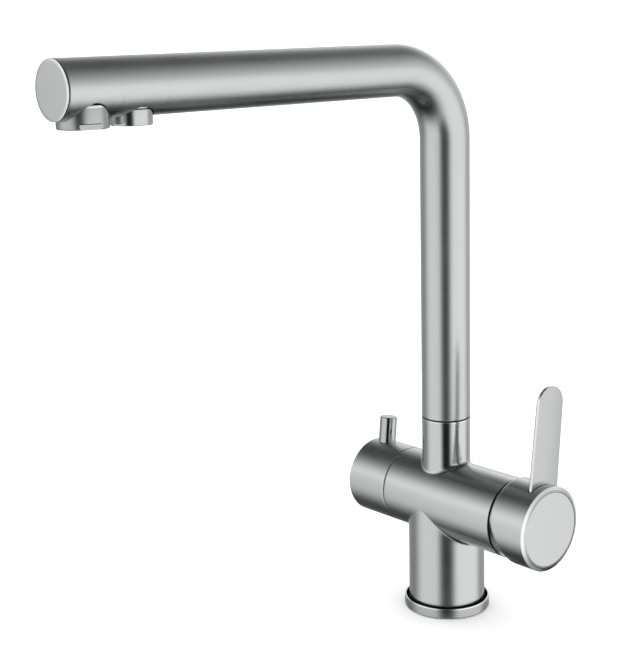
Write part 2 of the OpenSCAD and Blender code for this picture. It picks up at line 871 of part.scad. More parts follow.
module valve_body()
    color("goldenrod")
    on_barrel()
    difference() {
        union() {
            rod_x(-barrel_left, valve_seal_x + valve_seal_thick, valve_dia);
            rod_x(valve_collar_x, -barrel_left, collar_dia);
            rod_x(guide_x, valve_collar_x, guide_dia);
        }
        rod_x(valve_moving_x - run_gap, -valve_seat + cut, valve_chamber_dia);
        rod_x(guide_x - cut, -valve_seat, spindle_dia + 2 * run_gap);
        rod_x(valve_collar_x - spindle_ring / 2, valve_collar_x + spindle_ring / 2,
              spindle_dia + 2 * spindle_ring);
    }

module valve_seat_seal()
    color("dimgray")
    on_barrel()
    difference() {
        rod_x(valve_seal_x, -valve_seat, valve_disc_dia);
        valve_ports(valve_seal_x - cut, -valve_seat + cut);
    }

module valve_fixed_disc()
    color("white")
    on_barrel()
    difference() {
        rod_x(valve_fixed_x, valve_seal_x, valve_disc_dia);
        valve_ports(valve_fixed_x - cut, valve_seal_x + cut);
    }

module valve_moving_disc()
    color("lightgray")
    on_barrel(pin_turn)
    difference() {
        rod_x(valve_moving_x, valve_moving_x + valve_disc_thick, valve_disc_dia);
        // Half-moon pocket that joins the two water ways when the pin is turned
        translate([valve_moving_x + valve_disc_thick / 2, -valve_port_dia / 2, -valve_port_offset])
            cube([valve_disc_thick, valve_port_dia, 2 * valve_port_offset]);
    }

module valve_spindle()
    color("goldenrod")
    on_barrel(pin_turn)
    rod_x(spindle_x, valve_moving_x, spindle_dia);

module spindle_seal()
    color("dimgray")
    on_barrel()
    ring_x(valve_collar_x - spindle_ring / 2, valve_collar_x + spindle_ring / 2,
           spindle_dia + 2 * spindle_ring - 2 * fit_gap, spindle_dia + 2 * run_gap);

module filter_handle()
    color("silver")
    on_barrel(pin_turn)
    difference() {
        union() {
            rod_x(-filter_end + filter_bevel, filter_skirt_x, barrel_dia);
            translate([-filter_end + filter_bevel, 0, 0])
                rotate([0, -90, 0])
                cylinder(h = filter_bevel, d1 = barrel_dia, d2 = barrel_dia - 2 * filter_bevel);
        }
        rod_x(filter_hub_x, filter_skirt_x + cut, filter_bore);
        rod_x(spindle_x, filter_skirt_x, spindle_dia + 2 * fit_gap);
        translate([pin_x, 0, barrel_dia / 2 - pin_root])
            cylinder(h = beyond, d = pin_dia + 2 * fit_gap);
        translate([filter_grub_x, 0, -barrel_dia])
            cylinder(h = barrel_dia, d = grub_dia + 2 * fit_gap);
    }

module filter_pin()
    color("gainsboro")
    on_barrel(pin_turn)
    translate([pin_x, 0, barrel_dia / 2 - pin_root])
    cylinder(h = pin_reach - barrel_dia / 2 + pin_root, d = pin_dia);

module filter_grub_screw()
    color("gray")
    on_barrel(pin_turn)
    translate([filter_grub_x, 0, -spindle_dia / 2])
    rotate([180, 0, 0])
    grub_screw(grub_len);

tap_body();
swivel_neck();
inlet_block();
base_ring();
base_seal();
swivel_washer();
spout_stop_screw();
riser_seal();
spout_tube();
spout_sleeve();
swivel_seals();
spout_end_cap();
filtered_riser();
aerator_housing();
aerator_insert();
aerator_seal();
nozzle_boss();
filtered_nozzle();
nozzle_insert();
cartridge_base();
cartridge_seals();
cartridge_shell();
fixed_disc();
sliding_disc();
stem_carrier();
pivot_pin();
cartridge_stem();
cartridge_nut();
nut_dome();
mixer_handle();
mixer_lever();
mixer_end_disc();
mixer_grub_screw();
valve_body();
valve_seat_seal();
valve_fixed_disc();
valve_moving_disc();
valve_spindle();
spindle_seal();
filter_handle();
filter_pin();
filter_grub_screw();
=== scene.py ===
import json
import math

import bmesh
import bpy
import numpy as np
from mathutils import Matrix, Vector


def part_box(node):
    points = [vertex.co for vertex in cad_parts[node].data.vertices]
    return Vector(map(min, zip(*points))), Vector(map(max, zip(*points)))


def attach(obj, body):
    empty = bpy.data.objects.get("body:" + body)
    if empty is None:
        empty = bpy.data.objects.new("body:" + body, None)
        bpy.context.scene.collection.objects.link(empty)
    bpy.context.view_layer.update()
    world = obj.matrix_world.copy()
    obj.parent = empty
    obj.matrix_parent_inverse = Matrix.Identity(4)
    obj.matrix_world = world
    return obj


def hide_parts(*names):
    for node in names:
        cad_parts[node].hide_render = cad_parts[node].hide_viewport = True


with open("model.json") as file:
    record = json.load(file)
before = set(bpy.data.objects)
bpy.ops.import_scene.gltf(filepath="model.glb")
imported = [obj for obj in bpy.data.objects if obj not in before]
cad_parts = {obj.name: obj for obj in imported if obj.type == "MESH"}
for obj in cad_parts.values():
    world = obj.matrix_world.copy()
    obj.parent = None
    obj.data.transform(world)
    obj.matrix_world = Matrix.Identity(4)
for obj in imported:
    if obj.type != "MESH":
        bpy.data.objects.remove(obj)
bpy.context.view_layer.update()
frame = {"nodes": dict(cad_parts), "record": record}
mm = 0.001
tau = 2 * math.pi
quarterTurn = math.pi / 2
print("frame loaded:", len(frame["nodes"]), "nodes")


# small tools for surfaces, all in mm

# how finely the skins are meshed; straight and sharp are degrees
meshing = {"around": 160, "arcSteps": 5, "straight": 89.4, "holeRows": 8, "holeCrowding": 1.5,
           "holeFloor": (1, 0.5, 0), "merge": 0.002, "collapse": 0.0001, "sharp": 32, "tiny": 1e-6}


def boxOf(node):
    # lowest and highest corner of a CAD node at rest
    return [np.array(corner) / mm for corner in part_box(node)]


def middleOf(node, axis):
    # middle of a CAD node's box along one axis
    low, high = boxOf(node)
    return (low[axis] + high[axis]) / 2


def halfOf(node, axis):
    # half the width of a CAD node's box along one axis, which is a round node's radius
    low, high = boxOf(node)
    return (high[axis] - low[axis]) / 2


def rounded(corners, radii):
    # each corner becomes an arc that touches both of its sides, and corners past the last radius stay sharp;
    # the arc's ends lie r / tan(half angle) from the corner, and its middle r / sin(half angle)
    corners = np.array(corners, float)
    radii = list(radii) + [0] * (len(corners) - 2 - len(radii))
    line = [corners[:1]]
    for before, p, after, r in zip(corners, corners[1:], corners[2:], radii):
        a = (before - p) / np.linalg.norm(before - p)
        b = (after - p) / np.linalg.norm(after - p)
        half = math.acos(np.clip(a @ b, -1, 1)) / 2
        if r == 0 or half > math.radians(meshing["straight"]):
            line.append(p[None])
            continue
        middle = p + (a + b) / np.linalg.norm(a + b) * r / math.sin(half)
        start = p + a * r / math.tan(half) - middle
        end = p + b * r / math.tan(half) - middle
        t = np.linspace(0, 1, meshing["arcSteps"] + 1)[:, None]
        arc = start * (1 - t) + end * t
        line.append(middle + arc / np.linalg.norm(arc, axis=1)[:, None] * r)
    return np.concatenate(line + [corners[-1:]])


def boredSeats(start, *seats):
    # section of bores one behind the other, each a radius and where it ends; the last one is closed
    points = []
    for radius, end in seats:
        points += [(radius, start), (radius, end)]
        start = end
    return points + [(0, start)]


def dense(line, longest):
    # a polyline with every side cut into equal steps no longer than longest
    parts = [np.linspace(a, b, max(1, math.ceil(np.linalg.norm(b - a) / longest)), endpoint=False)
             for a, b in zip(line[:-1], line[1:])]
    return np.concatenate(parts + [line[-1:]])


def lengths(points):
    # distance along rows of points, from the first one
    steps = np.linalg.norm(np.diff(points, axis=0), axis=-1)
    return np.concatenate([np.zeros((1,) + steps.shape[1:]), np.cumsum(steps, axis=0)])


def ringAngles(count=meshing["around"]):
    # angles once round, with the first one again at the end
    return np.linspace(0, tau, count + 1)


def roundSheet(place, line, angles, finish):
    # rows of (radius, station) carried round the angles; place(station, angle, radius) gives the point,
    # and adding 0 * angles spreads a value round the ring
    r, s = line[:, :1] + 0 * angles, line[:, 1:] + 0 * angles
    a = angles + 0 * s
    outside = line[:, 0].max()
    return place(s, a, r), np.stack([s + outside - r, a * outside], -1), finish


def plainBand(place, radius, stations, angles, finish):
    # a wall of one radius over some of the angles
    line = np.stack([np.full(len(stations), radius), stations], -1)
    return roundSheet(place, line, angles, finish)


def holePatch(place, radius, stations, angles, hole, finish):
    # walks once round the sector's frame; x and y run from -1 to 1 on it, and the rim is round or a slot:
    # round (u, v) = R (x, y) / |x, y|, slot (u, v) = (long x, wide y), with u along the axis and v across it
    m, n = len(stations), len(angles)
    along, across = np.arange(m - 1), np.arange(n - 1)
    i = np.concatenate([0 * across, along, 0 * across + m - 1, m - 1 - along, [0]])
    j = np.concatenate([across, 0 * along + n - 1, n - 1 - across, 0 * along, [0]])
    x, y = 2 * i / (m - 1) - 1, 2 * j / (n - 1) - 1

    def rim(grow):
        if "slot" in hole:
            return (hole["slot"][0] + grow) * x, (hole["slot"][1] + grow) * y
        reach = hole["round"] + grow
        return reach * x / np.hypot(x, y), reach * y / np.hypot(x, y)

    def inside(u, v, drop):
        # point at (u, v) of the hole's plan, sunk by drop along the hole's own axis
        h = np.sqrt(radius ** 2 - v ** 2) - drop
        return place(hole["s"] + u, hole["turn"] + np.arctan2(v, h), np.hypot(v, h))

    # rows from the frame to the rim, closer together at the rim
    t = np.linspace(1, 0, meshing["holeRows"] + 1)[:, None] ** meshing["holeCrowding"]
    u, v = rim(hole["lip"])
    rimPlace, rimTurn = hole["s"] + u, hole["turn"] + np.arcsin(v / radius)
    s = rimPlace + (stations[i] - rimPlace) * t
    a = rimTurn + (angles[j] - rimTurn) * t
    skin = place(s, a, radius + 0 * s)
    u, v = rim(0)
    edge = inside(u, v, hole["lip"])
    lip = np.stack([skin[-1], edge])
    sunk = np.stack([edge] + [inside(u * k, v * k, hole["depth"]) for k in meshing["holeFloor"]])
    around = lengths(skin[-1])
    lipMap = np.stack([s[-1:] + 0 * lip[..., 0], around + 0 * lip[..., 0]], -1)
    sunkMap = np.stack([lengths(sunk), around + 0 * sunk[..., 0]], -1)
    skinMap = np.stack([s, a * radius], -1)
    return [(skin, skinMap, finish), (lip, lipMap, finish), (sunk, sunkMap, hole["finish"])]


def piercedBand(place, radius, stations, angles, holes, finish):
    # one band of a round skin; each hole keeps a sector of the angles, and plain sheets fill the rest
    sheets, start = [], 0
    for hole in holes:
        middle = round(hole["turn"] / angles[1])
        first, last = middle - hole["spread"], middle + hole["spread"]
        sheets.append(plainBand(place, radius, stations, angles[start:first + 1], finish))
        sheets += holePatch(place, radius, stations, angles[first:last + 1], hole, finish)
        start = last
    return sheets + [plainBand(place, radius, stations, angles[start:], finish)]


def makePiece(name, sheets, body, replaced):
    # sheets are grids of points, each with its UV lengths and material; merged edges make one closed skin
    materials = list(dict.fromkeys(finish for grid, uv, finish in sheets))
    points, quads, uvs, finishes, first = [], [], [], [], 0
    for grid, uv, finish in sheets:
        rows, cols = grid.shape[:2]
        i = first + np.arange(rows * cols).reshape(rows, cols)
        quads.append(np.stack([i[:-1, :-1], i[1:, :-1], i[1:, 1:], i[:-1, 1:]], -1).reshape(-1, 4))
        finishes.append(np.full(len(quads[-1]), materials.index(finish), np.int32))
        points.append(grid.reshape(-1, 3))
        uvs.append(uv.reshape(-1, 2))
        first += rows * cols
    points, quads, uvs = np.concatenate(points) * mm, np.concatenate(quads), np.concatenate(uvs) * mm
    mesh = bpy.data.meshes.new(name)
    mesh.vertices.add(len(points))
    mesh.vertices.foreach_set("co", points.ravel())
    mesh.loops.add(quads.size)
    mesh.loops.foreach_set("vertex_index", quads.ravel())
    mesh.polygons.add(len(quads))
    mesh.polygons.foreach_set("loop_start", np.arange(0, quads.size, 4))
    mesh.polygons.foreach_set("material_index", np.concatenate(finishes))
    mesh.uv_layers.new(name="brush").data.foreach_set("uv", uvs[quads].ravel())
    mesh.update(calc_edges=True)
    work = bmesh.new()
    work.from_mesh(mesh)
    bmesh.ops.remove_doubles(work, verts=work.verts, dist=meshing["merge"] * mm)
    bmesh.ops.dissolve_degenerate(work, edges=work.edges, dist=meshing["collapse"] * mm)
    bmesh.ops.recalc_face_normals(work, faces=work.faces)
    openEdges = sum(1 for e in work.edges if not e.is_manifold)
    work.to_mesh(mesh)
    work.free()
    mesh.polygons.foreach_set("use_smooth", np.ones(len(mesh.polygons), bool))
    mesh.set_sharp_from_angle(angle=math.radians(meshing["sharp"]))
    for material in materials:
        mesh.materials.append(material)
    piece = bpy.data.objects.new(name, mesh)
    bpy.context.scene.collection.objects.link(piece)
    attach(piece, body)
    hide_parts(*replaced)
    print("piece", name, len(mesh.polygons), "faces, open edges", openEdges)
    return piece


# small tools for materials

# how rough the noise behind every finish is; low and high are the noise values taken as its ends
noise = {"strokeDetail": 3.0, "strokeRoughness": 0.6, "patchDetail": 2.0, "patchShare": 0.4,
         "grainDetail": 4.0, "low": 0.3, "high": 0.7}


def linear(code):
    # sRGB hex to linear colour, by the standard's own curve
    c = np.array([int(code[i:i + 2], 16) for i in (1, 3, 5)]) / 255
    c = np.where(c <= 0.04045, c / 12.92, ((c + 0.055) / 1.055) ** 2.4)
    return (*c.tolist(), 1.0)


def addNode(tree, kind, inputs=None, **settings):
    # settings come first, because they decide which sockets there are
    made = tree.nodes.new(kind)
    for key, value in settings.items():
        setattr(made, key, value)
    for socket, value in (inputs or {}).items():
        if isinstance(value, bpy.types.NodeSocket):
            tree.links.new(value, made.inputs[socket])
        else:
            made.inputs[socket].default_value = value
    return made


def newMaterial(name):
    material = bpy.data.materials.new(name)
    material.use_nodes = True
    material.node_tree.nodes.clear()
    return material, material.node_tree


def finishSurface(tree, look, grain, gloss):
    # the grain gives tint and height, and the gloss moves the roughness between its two ends
    rough = addNode(tree, "ShaderNodeMapRange", {
        "Value": gloss, "From Min": noise["low"], "From Max": noise["high"],
        "To Min": look["roughness"][0], "To Max": look["roughness"][1]})
    tint = addNode(tree, "ShaderNodeMix", {
        "Factor": grain, "A": linear(look["dark"]), "B": linear(look["light"])}, data_type="RGBA")
    bump = addNode(tree, "ShaderNodeBump", {
        "Height": grain, "Strength": look["bump"], "Distance": look["depth"] * mm})
    shader = addNode(tree, "ShaderNodeBsdfPrincipled", {
        "Base Color": tint.outputs["Result"], "Metallic": look["metallic"],
        "Roughness": rough.outputs["Result"], "Normal": bump.outputs["Normal"]})
    if "ior" in look:  # a metal keeps the shader's own
        shader.inputs["IOR"].default_value = look["ior"]
    addNode(tree, "ShaderNodeOutputMaterial", {"Surface": shader.outputs["BSDF"]})


def brushedMetal(name, look):
    # strokes lie along U of the piece's own map, or along one object axis where the piece has no map
    material, tree = newMaterial(name)
    place = addNode(tree, "ShaderNodeTexCoord")
    stroke, gap = 1 / (look["strokeLength"] * mm), 1 / (look["strokeGap"] * mm)
    turned = addNode(tree, "ShaderNodeMapping", {
        "Vector": place.outputs["UV" if look["onMap"] else "Object"],
        "Scale": [stroke, gap, gap] if look["alongFirst"] else [gap, stroke, gap]})
    strokes = addNode(tree, "ShaderNodeTexNoise", {
        "Vector": turned.outputs["Vector"], "Scale": 1.0, "Detail": noise["strokeDetail"],
        "Roughness": noise["strokeRoughness"]})
    patches = addNode(tree, "ShaderNodeTexNoise", {
        "Vector": place.outputs["Object"], "Detail": noise["patchDetail"],
        "Scale": 1 / (look["patchSize"] * mm)})
    both = addNode(tree, "ShaderNodeMix", {
        "Factor": noise["patchShare"], "A": strokes.outputs["Fac"], "B": patches.outputs["Fac"]},
        data_type="FLOAT")
    finishSurface(tree, look, strokes.outputs["Fac"], both.outputs["Result"])
    return material


def mouldedStuff(name, look):
    # fine cloudy grain in colour, gloss and height, on object coordinates
    material, tree = newMaterial(name)
    place = addNode(tree, "ShaderNodeTexCoord")
    grain = addNode(tree, "ShaderNodeTexNoise", {
        "Vector": place.outputs["Object"], "Detail": noise["grainDetail"],
        "Scale": 1 / (look["grain"] * mm)})
    finishSurface(tree, look, grain.outputs["Fac"], grain.outputs["Fac"])
    return material


# stainless steel 304, satin brushed along the piece: soft wide reflections with a faint lengthwise grain
# real strokes are about 0.05 mm apart, drawn 0.3 mm apart so that they show
satinLook = {"light": "#DADCDB", "dark": "#CED0CF", "roughness": (0.22, 0.28), "metallic": 1.0,
             "strokeLength": 30, "strokeGap": 0.3, "depth": 0.01, "bump": 0.07, "patchSize": 25,
             "onMap": True, "alongFirst": True}
satinSteel = brushedMetal("stainless_satin_brushed_lengthwise", satinLook)

# the spout tube is brushed a little coarser, so the dark strip down its front is softer
tubeLook = {**satinLook, "roughness": (0.26, 0.32)}
tubeSteel = brushedMetal("stainless_satin_brushed_coarse", tubeLook)

# the lever is milled and brushed after: the same grain on a greyer ground
milledLook = {**satinLook, "light": "#CDCFCE", "dark": "#C4C6C5"}
milledSteel = brushedMetal("stainless_satin_milled", milledLook)

# the aerator's wall is turned, and greyer still
outletLook = {**satinLook, "light": "#C6C8C7", "dark": "#BCBEBD", "roughness": (0.27, 0.33)}
outletSteel = brushedMetal("stainless_satin_turned_wall", outletLook)

# the filtered-water nozzle is turned finer, so its stripes are sharper
nozzleLook = {**satinLook, "light": "#D5D7D6", "dark": "#CBCDCC", "roughness": (0.14, 0.18)}
nozzleSteel = brushedMetal("stainless_fine_turned_wall", nozzleLook)

# the same steel faced on a lathe: as bright, with its grain in rings too fine to break up the reflection
facedLook = {**satinLook, "light": "#DADCDB", "dark": "#D3D5D4", "alongFirst": False, "strokeGap": 0.2,
             "bump": 0.02}
facedSteel = brushedMetal("stainless_satin_faced", facedLook)

# painted light: the spout's end cap is the same faced steel coloured paler, so that its face reads brighter
litFacedLook = {**facedLook, "light": "#FEFCFD", "dark": "#F8F6F7"}
litFacedSteel = brushedMetal("stainless_faced_painted_light", litFacedLook)

# the base ring is turned and left greyer
ringLook = {**facedLook, "light": "#C0C3C2", "dark": "#B6B9B8"}
ringSteel = brushedMetal("stainless_satin_turned", ringLook)

# the neck under the seam is brushed finer, so stripes on it are sharper
fineLook = {**satinLook, "roughness": (0.13, 0.18), "strokeGap": 0.2, "bump": 0.04}
fineSteel = brushedMetal("stainless_fine_brushed_lengthwise", fineLook)

# bevels cut with a sharp tool after brushing, smoother and with a clear edge; their colour is raised to
# almost white as a painted highlight along the edges
brightCutHighlightLook = {**facedLook, "light": "#FFFFFF", "dark": "#FAFBFB", "roughness": (0.18, 0.24)}
brightCutHighlightSteel = brushedMetal("stainless_bright_cut_painted_highlight", brightCutHighlightLook)

# polished steel: clear black and white stripes, with only a trace of polishing marks
polishedLook = {**satinLook, "light": "#CBCDCD", "dark": "#C4C7C6", "roughness": (0.05, 0.09), "bump": 0.02}
polishedSteel = brushedMetal("stainless_polished", polishedLook)

# painted shade: steel coloured dark and dull at the bottom of gaps, slots, grooves and recesses, standing in
# for the shade there
paintedShadeLook = {**satinLook, "light": "#2B2D2E", "dark": "#1D1F20", "roughness": (0.5, 0.6)}
paintedShadeSteel = brushedMetal("steel_painted_shade_dark", paintedShadeLook)

# turned brass, inside the tap: warm and slightly scored
brassLook = {**satinLook, "light": "#D9B878", "dark": "#C7A260", "roughness": (0.25, 0.38), "onMap": False,
             "strokeLength": 6, "strokeGap": 0.25}
turnedBrass = brushedMetal("brass_turned", brassLook)

# brass turned and nickel plated, where it shows under the spout, with soft clear reflections; coloured
# nearly white as a painted highlight
platedHighlightLook = {**brassLook, "light": "#FFFFFF", "dark": "#FAFBFB", "roughness": (0.22, 0.28), "onMap": True}
platedHighlightBrass = brushedMetal("brass_nickel_plated_painted_highlight", platedHighlightLook)

# turned screw steel: darker, a little oily
screwLook = {**brassLook, "light": "#9A9C9D", "dark": "#7F8284", "roughness": (0.22, 0.35)}
screwSteel = brushedMetal("steel_turned_screw", screwLook)

# satin steel on a node that keeps its CAD skin
plainSatin = brushedMetal("stainless_satin_pressed", {**satinLook, "onMap": False})

rubberLook = {"light": "#1E1E1E", "dark": "#141414", "roughness": (0.55, 0.7), "metallic": 0.0, "ior": 1.52,
              "grain": 0.6, "depth": 0.01, "bump": 0.15}
mouldedRubber = mouldedStuff("epdm_rubber_moulded", rubberLook)  # dull black with a faint bloom

acetalLook = {**rubberLook, "light": "#232425", "dark": "#191A1B", "roughness": (0.35, 0.45), "ior": 1.48}
mouldedAcetal = mouldedStuff("acetal_moulded_black", acetalLook)  # slightly waxy black

paleLook = {**rubberLook, "light": "#E4E4E0", "dark": "#D8D8D3", "roughness": (0.35, 0.5), "ior": 1.49}
palePlastic = mouldedStuff("abs_moulded_pale", paleLook)  # even off-white with fine mould texture

ceramicLook = {**rubberLook, "light": "#F0EEE8", "dark": "#E6E3DB", "roughness": (0.12, 0.2), "ior": 1.76,
               "grain": 0.3, "bump": 0.03}
lappedAlumina = mouldedStuff("alumina_lapped", ceramicLook)  # dense, nearly mirror flat, ivory
print("materials made:", len(bpy.data.materials))


# spout tube: a circle carried up, round a quarter bend and level along -Y, with a sunk gap round each outlet
# whose floor is painted dark as shade

tubeLow, tubeHigh = boxOf("spout_tube")
tube = {"radius": tubeHigh[0], "height": tubeHigh[2] - tubeHigh[0], "foot": tubeLow[2], "end": -tubeLow[1],
        "wall": 1.5, "bend": 39.5, "edge": 0.35, "boreEdge": 0.1, "lip": 2.0, "step": 3.0,
        "aeratorGap": 0.35, "nozzleGap": 0.55, "gap": {"lip": 0.2, "depth": 1.0, "spread": 36},
        "gapRows": 20, "gapMargin": 2.0, "endMargin": 0.8}
tubeRise = tube["height"] - tube["bend"] - tube["foot"]  # straight under the bend
tubeLong = tubeRise + tube["bend"] * (quarterTurn - 1) + tube["end"]  # whole middle line


def spoutPlace(s, a, r):
    # s runs up the straight, round the bend by turn = (s - rise) / bend and along the level;
    # a = 0 is the outside of the bend, and r cos a points away from the bend's middle
    turn = np.clip((s - tubeRise) / tube["bend"], 0, quarterTurn)
    level = np.clip(s - tubeRise - tube["bend"] * quarterTurn, 0, None)
    y = -tube["bend"] * (1 - np.cos(turn)) - level
    z = tube["foot"] + np.clip(s, None, tubeRise) + tube["bend"] * np.sin(turn)
    out = r * np.cos(a)
    return np.stack([r * np.sin(a), y + out * np.cos(turn), z + out * np.sin(turn)], -1)


def outletGap(node, gap):
    # round hole in the underside, wider than the outlet by the gap
    return {**tube["gap"], "turn": math.pi, "finish": paintedShadeSteel, "round": halfOf(node, 0) + gap,
            "s": tubeLong - tube["end"] - middleOf(node, 1)}


def spoutTube():
    r, bore, e, lip = tube["radius"], tube["radius"] - tube["wall"], tube["edge"], tube["lip"]
    a = ringAngles()
    nozzleHole = outletGap("filtered_nozzle", tube["nozzleGap"])
    aeratorHole = outletGap("aerator_housing", tube["aeratorGap"])
    nozzleStart = nozzleHole["s"] - nozzleHole["round"] - tube["gapMargin"]
    between = (aeratorHole["s"] - aeratorHole["round"] + nozzleHole["s"] + nozzleHole["round"]) / 2
    aeratorEnd = tubeLong - tube["endMargin"]
    footLip = rounded([(bore, lip), (bore, 0), (r, 0), (r, lip)], [tube["boreEdge"], e])
    outer = dense(np.array([(r, lip), (r, nozzleStart)]), tube["step"])
    endLip = rounded([(r, aeratorEnd), (r, tubeLong), (bore, tubeLong), (bore, tubeLong - lip)],
                     [e, tube["boreEdge"]])
    inner = dense(np.array([(bore, tubeLong - lip), (bore, lip)]), tube["step"])
    sheets = [roundSheet(spoutPlace, line, a, tubeSteel) for line in (footLip, outer, endLip, inner)]
    for hole, first, last in ((nozzleHole, nozzleStart, between), (aeratorHole, between, aeratorEnd)):
        rows = np.linspace(first, last, tube["gapRows"] + 1)
        sheets += piercedBand(spoutPlace, r, rows, a, [hole], tubeSteel)
    return sheets


makePiece("spout_tube_skin", spoutTube(), "spout", ["spout_tube"])


# round end cap: a turned face coloured paler as painted light, a bright cut rim coloured white as a painted
# highlight, and a fine groove behind it painted dark as shade

cap = {"radius": tube["radius"], "face": -boxOf("spout_end_cap")[0][1], "bevel": 0.4, "bevelDeep": 0.15,
       "bevelEdge": 0.08, "rim": 0.5, "rimEdge": 0.05, "groove": 0.4, "grooveEnd": 1.15, "plug": 12.45,
       "plugEnd": 2.5, "step": 1.5}


def capPlace(s, a, r):
    # a circle in the upright plane, s behind the face: x = r sin a, z = height + r cos a
    return np.stack([r * np.sin(a), s - cap["face"], tube["height"] + r * np.cos(a)], -1)


def endCap():
    a, r, rim, grooveEnd = ringAngles(), cap["radius"], cap["rim"], cap["grooveEnd"]
    flat, sunk = r - cap["bevel"], r - cap["groove"]
    face = dense(np.array([(0, 0), (flat, 0)]), cap["step"])
    bevel = rounded([(flat, 0), (r, cap["bevelDeep"]), (r, rim), (sunk, rim)],
                    [cap["bevelEdge"], cap["rimEdge"]])
    groove = np.array([(sunk, rim), (sunk, grooveEnd), (cap["plug"], grooveEnd)])
    plug = np.array([(cap["plug"], grooveEnd), (cap["plug"], cap["plugEnd"]), (0, cap["plugEnd"])])
    rings = ((face, litFacedSteel), (bevel, brightCutHighlightSteel), (groove, paintedShadeSteel), (plug, satinSteel))
    return [roundSheet(capPlace, line, a, finish) for line, finish in rings]


makePiece("spout_end_cap_skin", endCap(), "spout", ["spout_end_cap"])


# outlets: upright turned walls; the aerator has two wrench flats and a bevel coloured white as a painted
# highlight, the nozzle hangs from a plated boss coloured white as a painted highlight

aeratorLow, aeratorHigh = boxOf("aerator_housing")
aerator = {"radius": halfOf("aerator_housing", 0), "y": middleOf("aerator_housing", 1),
           "bottom": aeratorLow[2], "top": aeratorHigh[2], "bore": 10.2, "boreEdge": 0.25, "socket": 3.0,
           "edge": 0.7, "bevel": 0.25, "bevelHigh": 1.1, "flat": 11.0, "flatHigh": 2.8, "flatTurn": -14,
           "flatSteps": 24, "wallSteps": 72, "shade": 0.35, "ledge": 0.01, "thinnest": 0.3}
nozzle = {"radius": halfOf("filtered_nozzle", 0), "y": middleOf("filtered_nozzle", 1),
          "bottom": boxOf("filtered_nozzle")[0][2], "bore": 7.4, "boreEdge": 0.25, "socket": 2.6,
          "edge": 0.35, "groove": 0.7, "grooveHigh": 0.4, "grooveEdge": 0.25}
bossLow, bossHigh = boxOf("nozzle_boss")
boss = {"radius": nozzle["radius"], "foot": bossLow[2], "top": bossHigh[2], "waist": 0.5, "waistHigh": 2.0,
        "bore": nozzle["bore"], "boreEnd": tube["height"], "footEdge": 0.2, "waistEdge": 1.0, "topEdge": 0.3,
        "step": 2.0}


def aeratorPlace(s, a, r):
    # x = r cos a, y = r sin a; below flatHigh the wall is cut back to r = flat / |cos(a - turn)|
    o = aerator
    reach = o["flat"] / np.maximum(np.abs(np.cos(a - math.radians(o["flatTurn"]))), meshing["tiny"])
    cut = (s < o["bottom"] + o["flatHigh"]) & (r > o["bore"] + o["thinnest"])
    r = np.where(cut, np.minimum(r, reach), r)
    return np.stack([r * np.cos(a), o["y"] + r * np.sin(a), s], -1)


def aeratorHousing():
    # angles run over a flat, the wall, the other flat and the wall again, so that the corners are exact
    o = aerator
    r, b, low, top = o["radius"], o["bore"], o["bottom"], o["top"]
    corner = math.acos(o["flat"] / r)
    across = np.linspace(0, 2 * corner, o["flatSteps"] + 1)
    between = np.linspace(2 * corner, math.pi, o["wallSteps"] + 1)
    half = np.concatenate([across, between[1:]])
    a = math.radians(o["flatTurn"]) - corner + np.concatenate([half, math.pi + half[1:]])
    flatTop, bevelFoot, socket = low + o["flatHigh"], top - o["bevelHigh"], low + o["socket"]
    shade, under, over = flatTop - o["shade"], flatTop - o["ledge"], flatTop + o["ledge"]
    wall = rounded([(b, socket), (b, low), (r, low), (r, shade)], [o["boreEdge"], o["edge"]])
    upper = np.array([(r, under), (r, over), (r, bevelFoot)])
    bevel = np.array([(r, bevelFoot), (r - o["bevel"], top)])
    roof = np.array([(r - o["bevel"], top), (b, top), (b, socket)])
    rings = ((wall, outletSteel), (upper, outletSteel), (bevel, brightCutHighlightSteel), (roof, outletSteel))
    sheets = [roundSheet(aeratorPlace, line, a, finish) for line, finish in rings]
    # painted shade: the top of the flats is coloured dark, as the shade of the wall over them
    strip = np.array([(r, shade), (r, under)])
    flatEnd, nextFlat = o["flatSteps"], o["flatSteps"] + o["wallSteps"]
    stops = (0, flatEnd, nextFlat, nextFlat + flatEnd, 2 * nextFlat)
    for first, last, finish in zip(stops, stops[1:], (paintedShadeSteel, outletSteel, paintedShadeSteel, outletSteel)):
        sheets.append(roundSheet(aeratorPlace, strip, a[first:last + 1], finish))
    return sheets


def nozzlePlace(s, a, r):
    # a level circle at height s: x = r cos a, y = middle + r sin a
    return np.stack([r * np.cos(a), nozzle["y"] + r * np.sin(a), s], -1)


def filteredNozzle():
    o = nozzle
    a, r, b, low, roof = ringAngles(), o["radius"], o["bore"], o["bottom"], boss["foot"]
    sunk, top, socket = r - o["groove"], roof - o["grooveHigh"], low + o["socket"]
    collar = rounded([(b, socket), (b, low), (r, low), (r, top), (sunk, top)],
                     [o["boreEdge"], o["edge"], o["grooveEdge"]])
    # the groove under the boss is painted dark as shade
    groove = np.array([(sunk, top), (sunk, roof), (b, roof), (b, socket)])
    return [roundSheet(nozzlePlace, collar, a, nozzleSteel), roundSheet(nozzlePlace, groove, a, paintedShadeSteel)]


def nozzleBoss():
    o = boss
    r, b, foot, waist = o["radius"], o["bore"], o["foot"], o["radius"] - o["waist"]
    line = rounded([(0, o["boreEnd"]), (b, o["boreEnd"]), (b, foot), (r, foot),
                    (waist, foot + o["waistHigh"]), (waist, o["top"]), (0, o["top"])],
                   [0, 0, o["footEdge"], o["waistEdge"], o["topEdge"]])
    return [roundSheet(nozzlePlace, dense(line, o["step"]), ringAngles(), platedHighlightBrass)]


makePiece("aerator_housing_skin", aeratorHousing(), "spout", ["aerator_housing"])
makePiece("filtered_nozzle_skin", filteredNozzle(), "spout", ["filtered_nozzle"])
makePiece("nozzle_boss_skin", nozzleBoss(), "spout", ["nozzle_boss"])


# body casting: barrel, column and neck joined by rolling-ball fillets; a seat is a radius and where it ends

